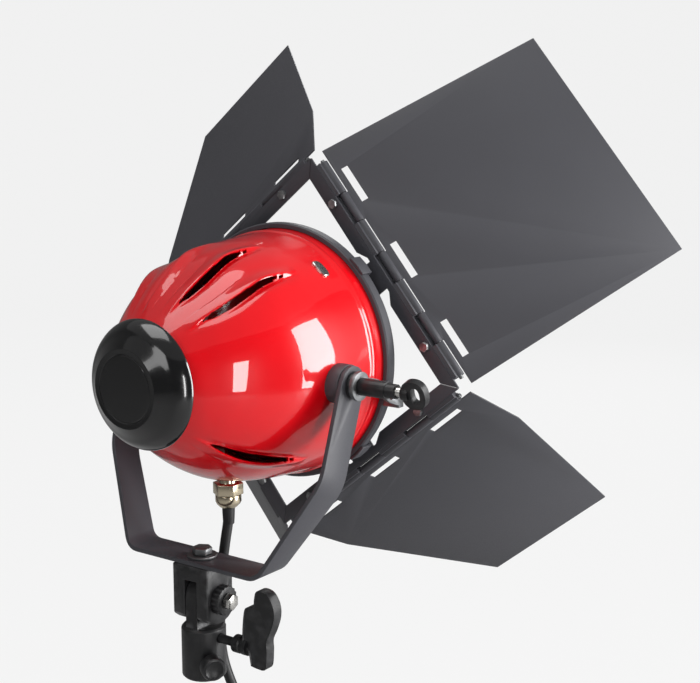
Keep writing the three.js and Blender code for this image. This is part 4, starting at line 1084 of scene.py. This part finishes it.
class LIGHT_OT_stage(bpy.types.Operator):
    """Set the camera, the pale floor and backdrop, and the soft studio light"""

    bl_idname = "light.stage"
    bl_label = "Camera and light"

    def camera(self, scene):
        data = bpy.data.cameras.new("camera")
        data.lens = CAMERA_LENS
        data.sensor_width = CAMERA_SENSOR
        camera = bpy.data.objects.new("camera", data)
        ahead = Vector(CAMERA_AHEAD).normalized()
        up = Vector(CAMERA_RIGHT).cross(ahead).normalized()
        right = ahead.cross(up)
        turn = Matrix((right, up, -ahead)).transposed().to_4x4()
        camera.matrix_world = Matrix.Translation(CAMERA_PLACE) @ turn
        scene.collection.objects.link(camera)
        scene.camera = camera

    def softbox(self, scene, name, place, width, height, power):
        data = bpy.data.lights.new(name, "AREA")
        data.shape = "RECTANGLE"
        data.size = width
        data.size_y = height
        data.energy = power
        box = bpy.data.objects.new(name, data)
        box.location = place
        ahead = Vector(LIGHT_TARGET) - Vector(place)
        box.rotation_euler = ahead.to_track_quat("-Z", "Y").to_euler()
        scene.collection.objects.link(box)

    def backdrop_finish(self, tint):
        material = bpy.data.materials.new("Backdrop")
        material.use_nodes = True
        tree = material.node_tree
        shader = tree.nodes["Principled BSDF"]
        noise = group_node(tree, "Grain", Scale=30.0, Broad_scale=1.5)
        surface = mix_colour(tree, noise.outputs["Broad"], shade(tint, 0.985), shade(tint, 1.01))
        tree.links.new(surface, shader.inputs["Base Color"])
        shader.inputs["Roughness"].default_value = 0.9
        shader.inputs["Specular IOR Level"].default_value = 0.1
        glow = add_node(tree, "ShaderNodeEmission")
        glow.inputs["Color"].default_value = (0.98, 0.98, 0.98, 1)
        path = add_node(tree, "ShaderNodeLightPath")
        share = spread(tree, path.outputs["Is Camera Ray"], 0, 1, 0, BACKDROP_GLOW)
        links = [("Fac", share), (1, shader.outputs["BSDF"]), (2, glow.outputs["Emission"])]
        white = add_node(tree, "ShaderNodeMixShader", links)
        tree.links.new(white.outputs["Shader"], tree.nodes["Material Output"].inputs["Surface"])
        return material

    def execute(self, context):
        scene = context.scene
        scene.view_settings.view_transform = "Standard"
        self.camera(scene)
        profile = [(radius, FLOOR) for radius in FLOOR_RADII]
        for a in np.linspace(0, math.pi / 2, 16):
            out, up = COVE_RADIUS * math.sin(a), COVE_RADIUS * (1 - math.cos(a))
            profile.append((COVE_START + out, FLOOR + up))
        profile.append(WALL_TOP)
        bm = bmesh.new()
        add_lathe(bm, profile, Matrix.Identity(4), 96, closed=False)
        mesh = from_bmesh("backdrop", bm, 80)
        mesh.materials.append(self.backdrop_finish(tuple(scene.light_colours.backdrop)))
        backdrop = bpy.data.objects.new("backdrop", mesh)
        scene.collection.objects.link(backdrop)

        for settings in SOFTBOXES:
            self.softbox(scene, *settings)

        world = bpy.data.worlds.new("studio")
        scene.world = world
        world.use_nodes = True
        tree = world.node_tree
        shader = tree.nodes["Background"]
        path = add_node(tree, "ShaderNodeLightPath")
        strength = spread(tree, path.outputs["Is Camera Ray"], 0, 1, WORLD_LIGHT, 1.0)
        tree.links.new(strength, shader.inputs["Strength"])
        shader.inputs["Color"].default_value = (1, 1, 1, 1)
        return {"FINISHED"}


# Panel and run

OPERATORS = (
    LIGHT_OT_stage, LIGHT_OT_cord, LIGHT_OT_shell, LIGHT_OT_front, LIGHT_OT_inside, LIGHT_OT_barndoor,
    LIGHT_OT_yoke, LIGHT_OT_controls,
)


class LIGHT_PT_panel(bpy.types.Panel):
    """Sizes, colours and build steps of the light"""

    bl_idname = "LIGHT_PT_panel"
    bl_label = "Open-face light"
    bl_space_type = "VIEW_3D"
    bl_region_type = "UI"
    bl_category = "Light"

    def draw(self, context):
        for group in (context.scene.light_sizes, context.scene.light_colours):
            for key in group.__annotations__:
                self.layout.prop(group, key)
        for operator in OPERATORS:
            self.layout.operator(operator.bl_idname)


CLASSES = (LightSizes, LightColours, *OPERATORS, LIGHT_PT_panel)


def register():
    for cls in CLASSES:
        bpy.utils.register_class(cls)
    bpy.types.Scene.light_sizes = PointerProperty(type=LightSizes)
    bpy.types.Scene.light_colours = PointerProperty(type=LightColours)


def unregister():
    del bpy.types.Scene.light_colours
    del bpy.types.Scene.light_sizes
    for cls in reversed(CLASSES):
        bpy.utils.unregister_class(cls)


def main():
    register()
    for operator in OPERATORS:
        group, name = operator.bl_idname.split(".")
        getattr(getattr(bpy.ops, group), name)()


if __name__ == "__main__":
    main()
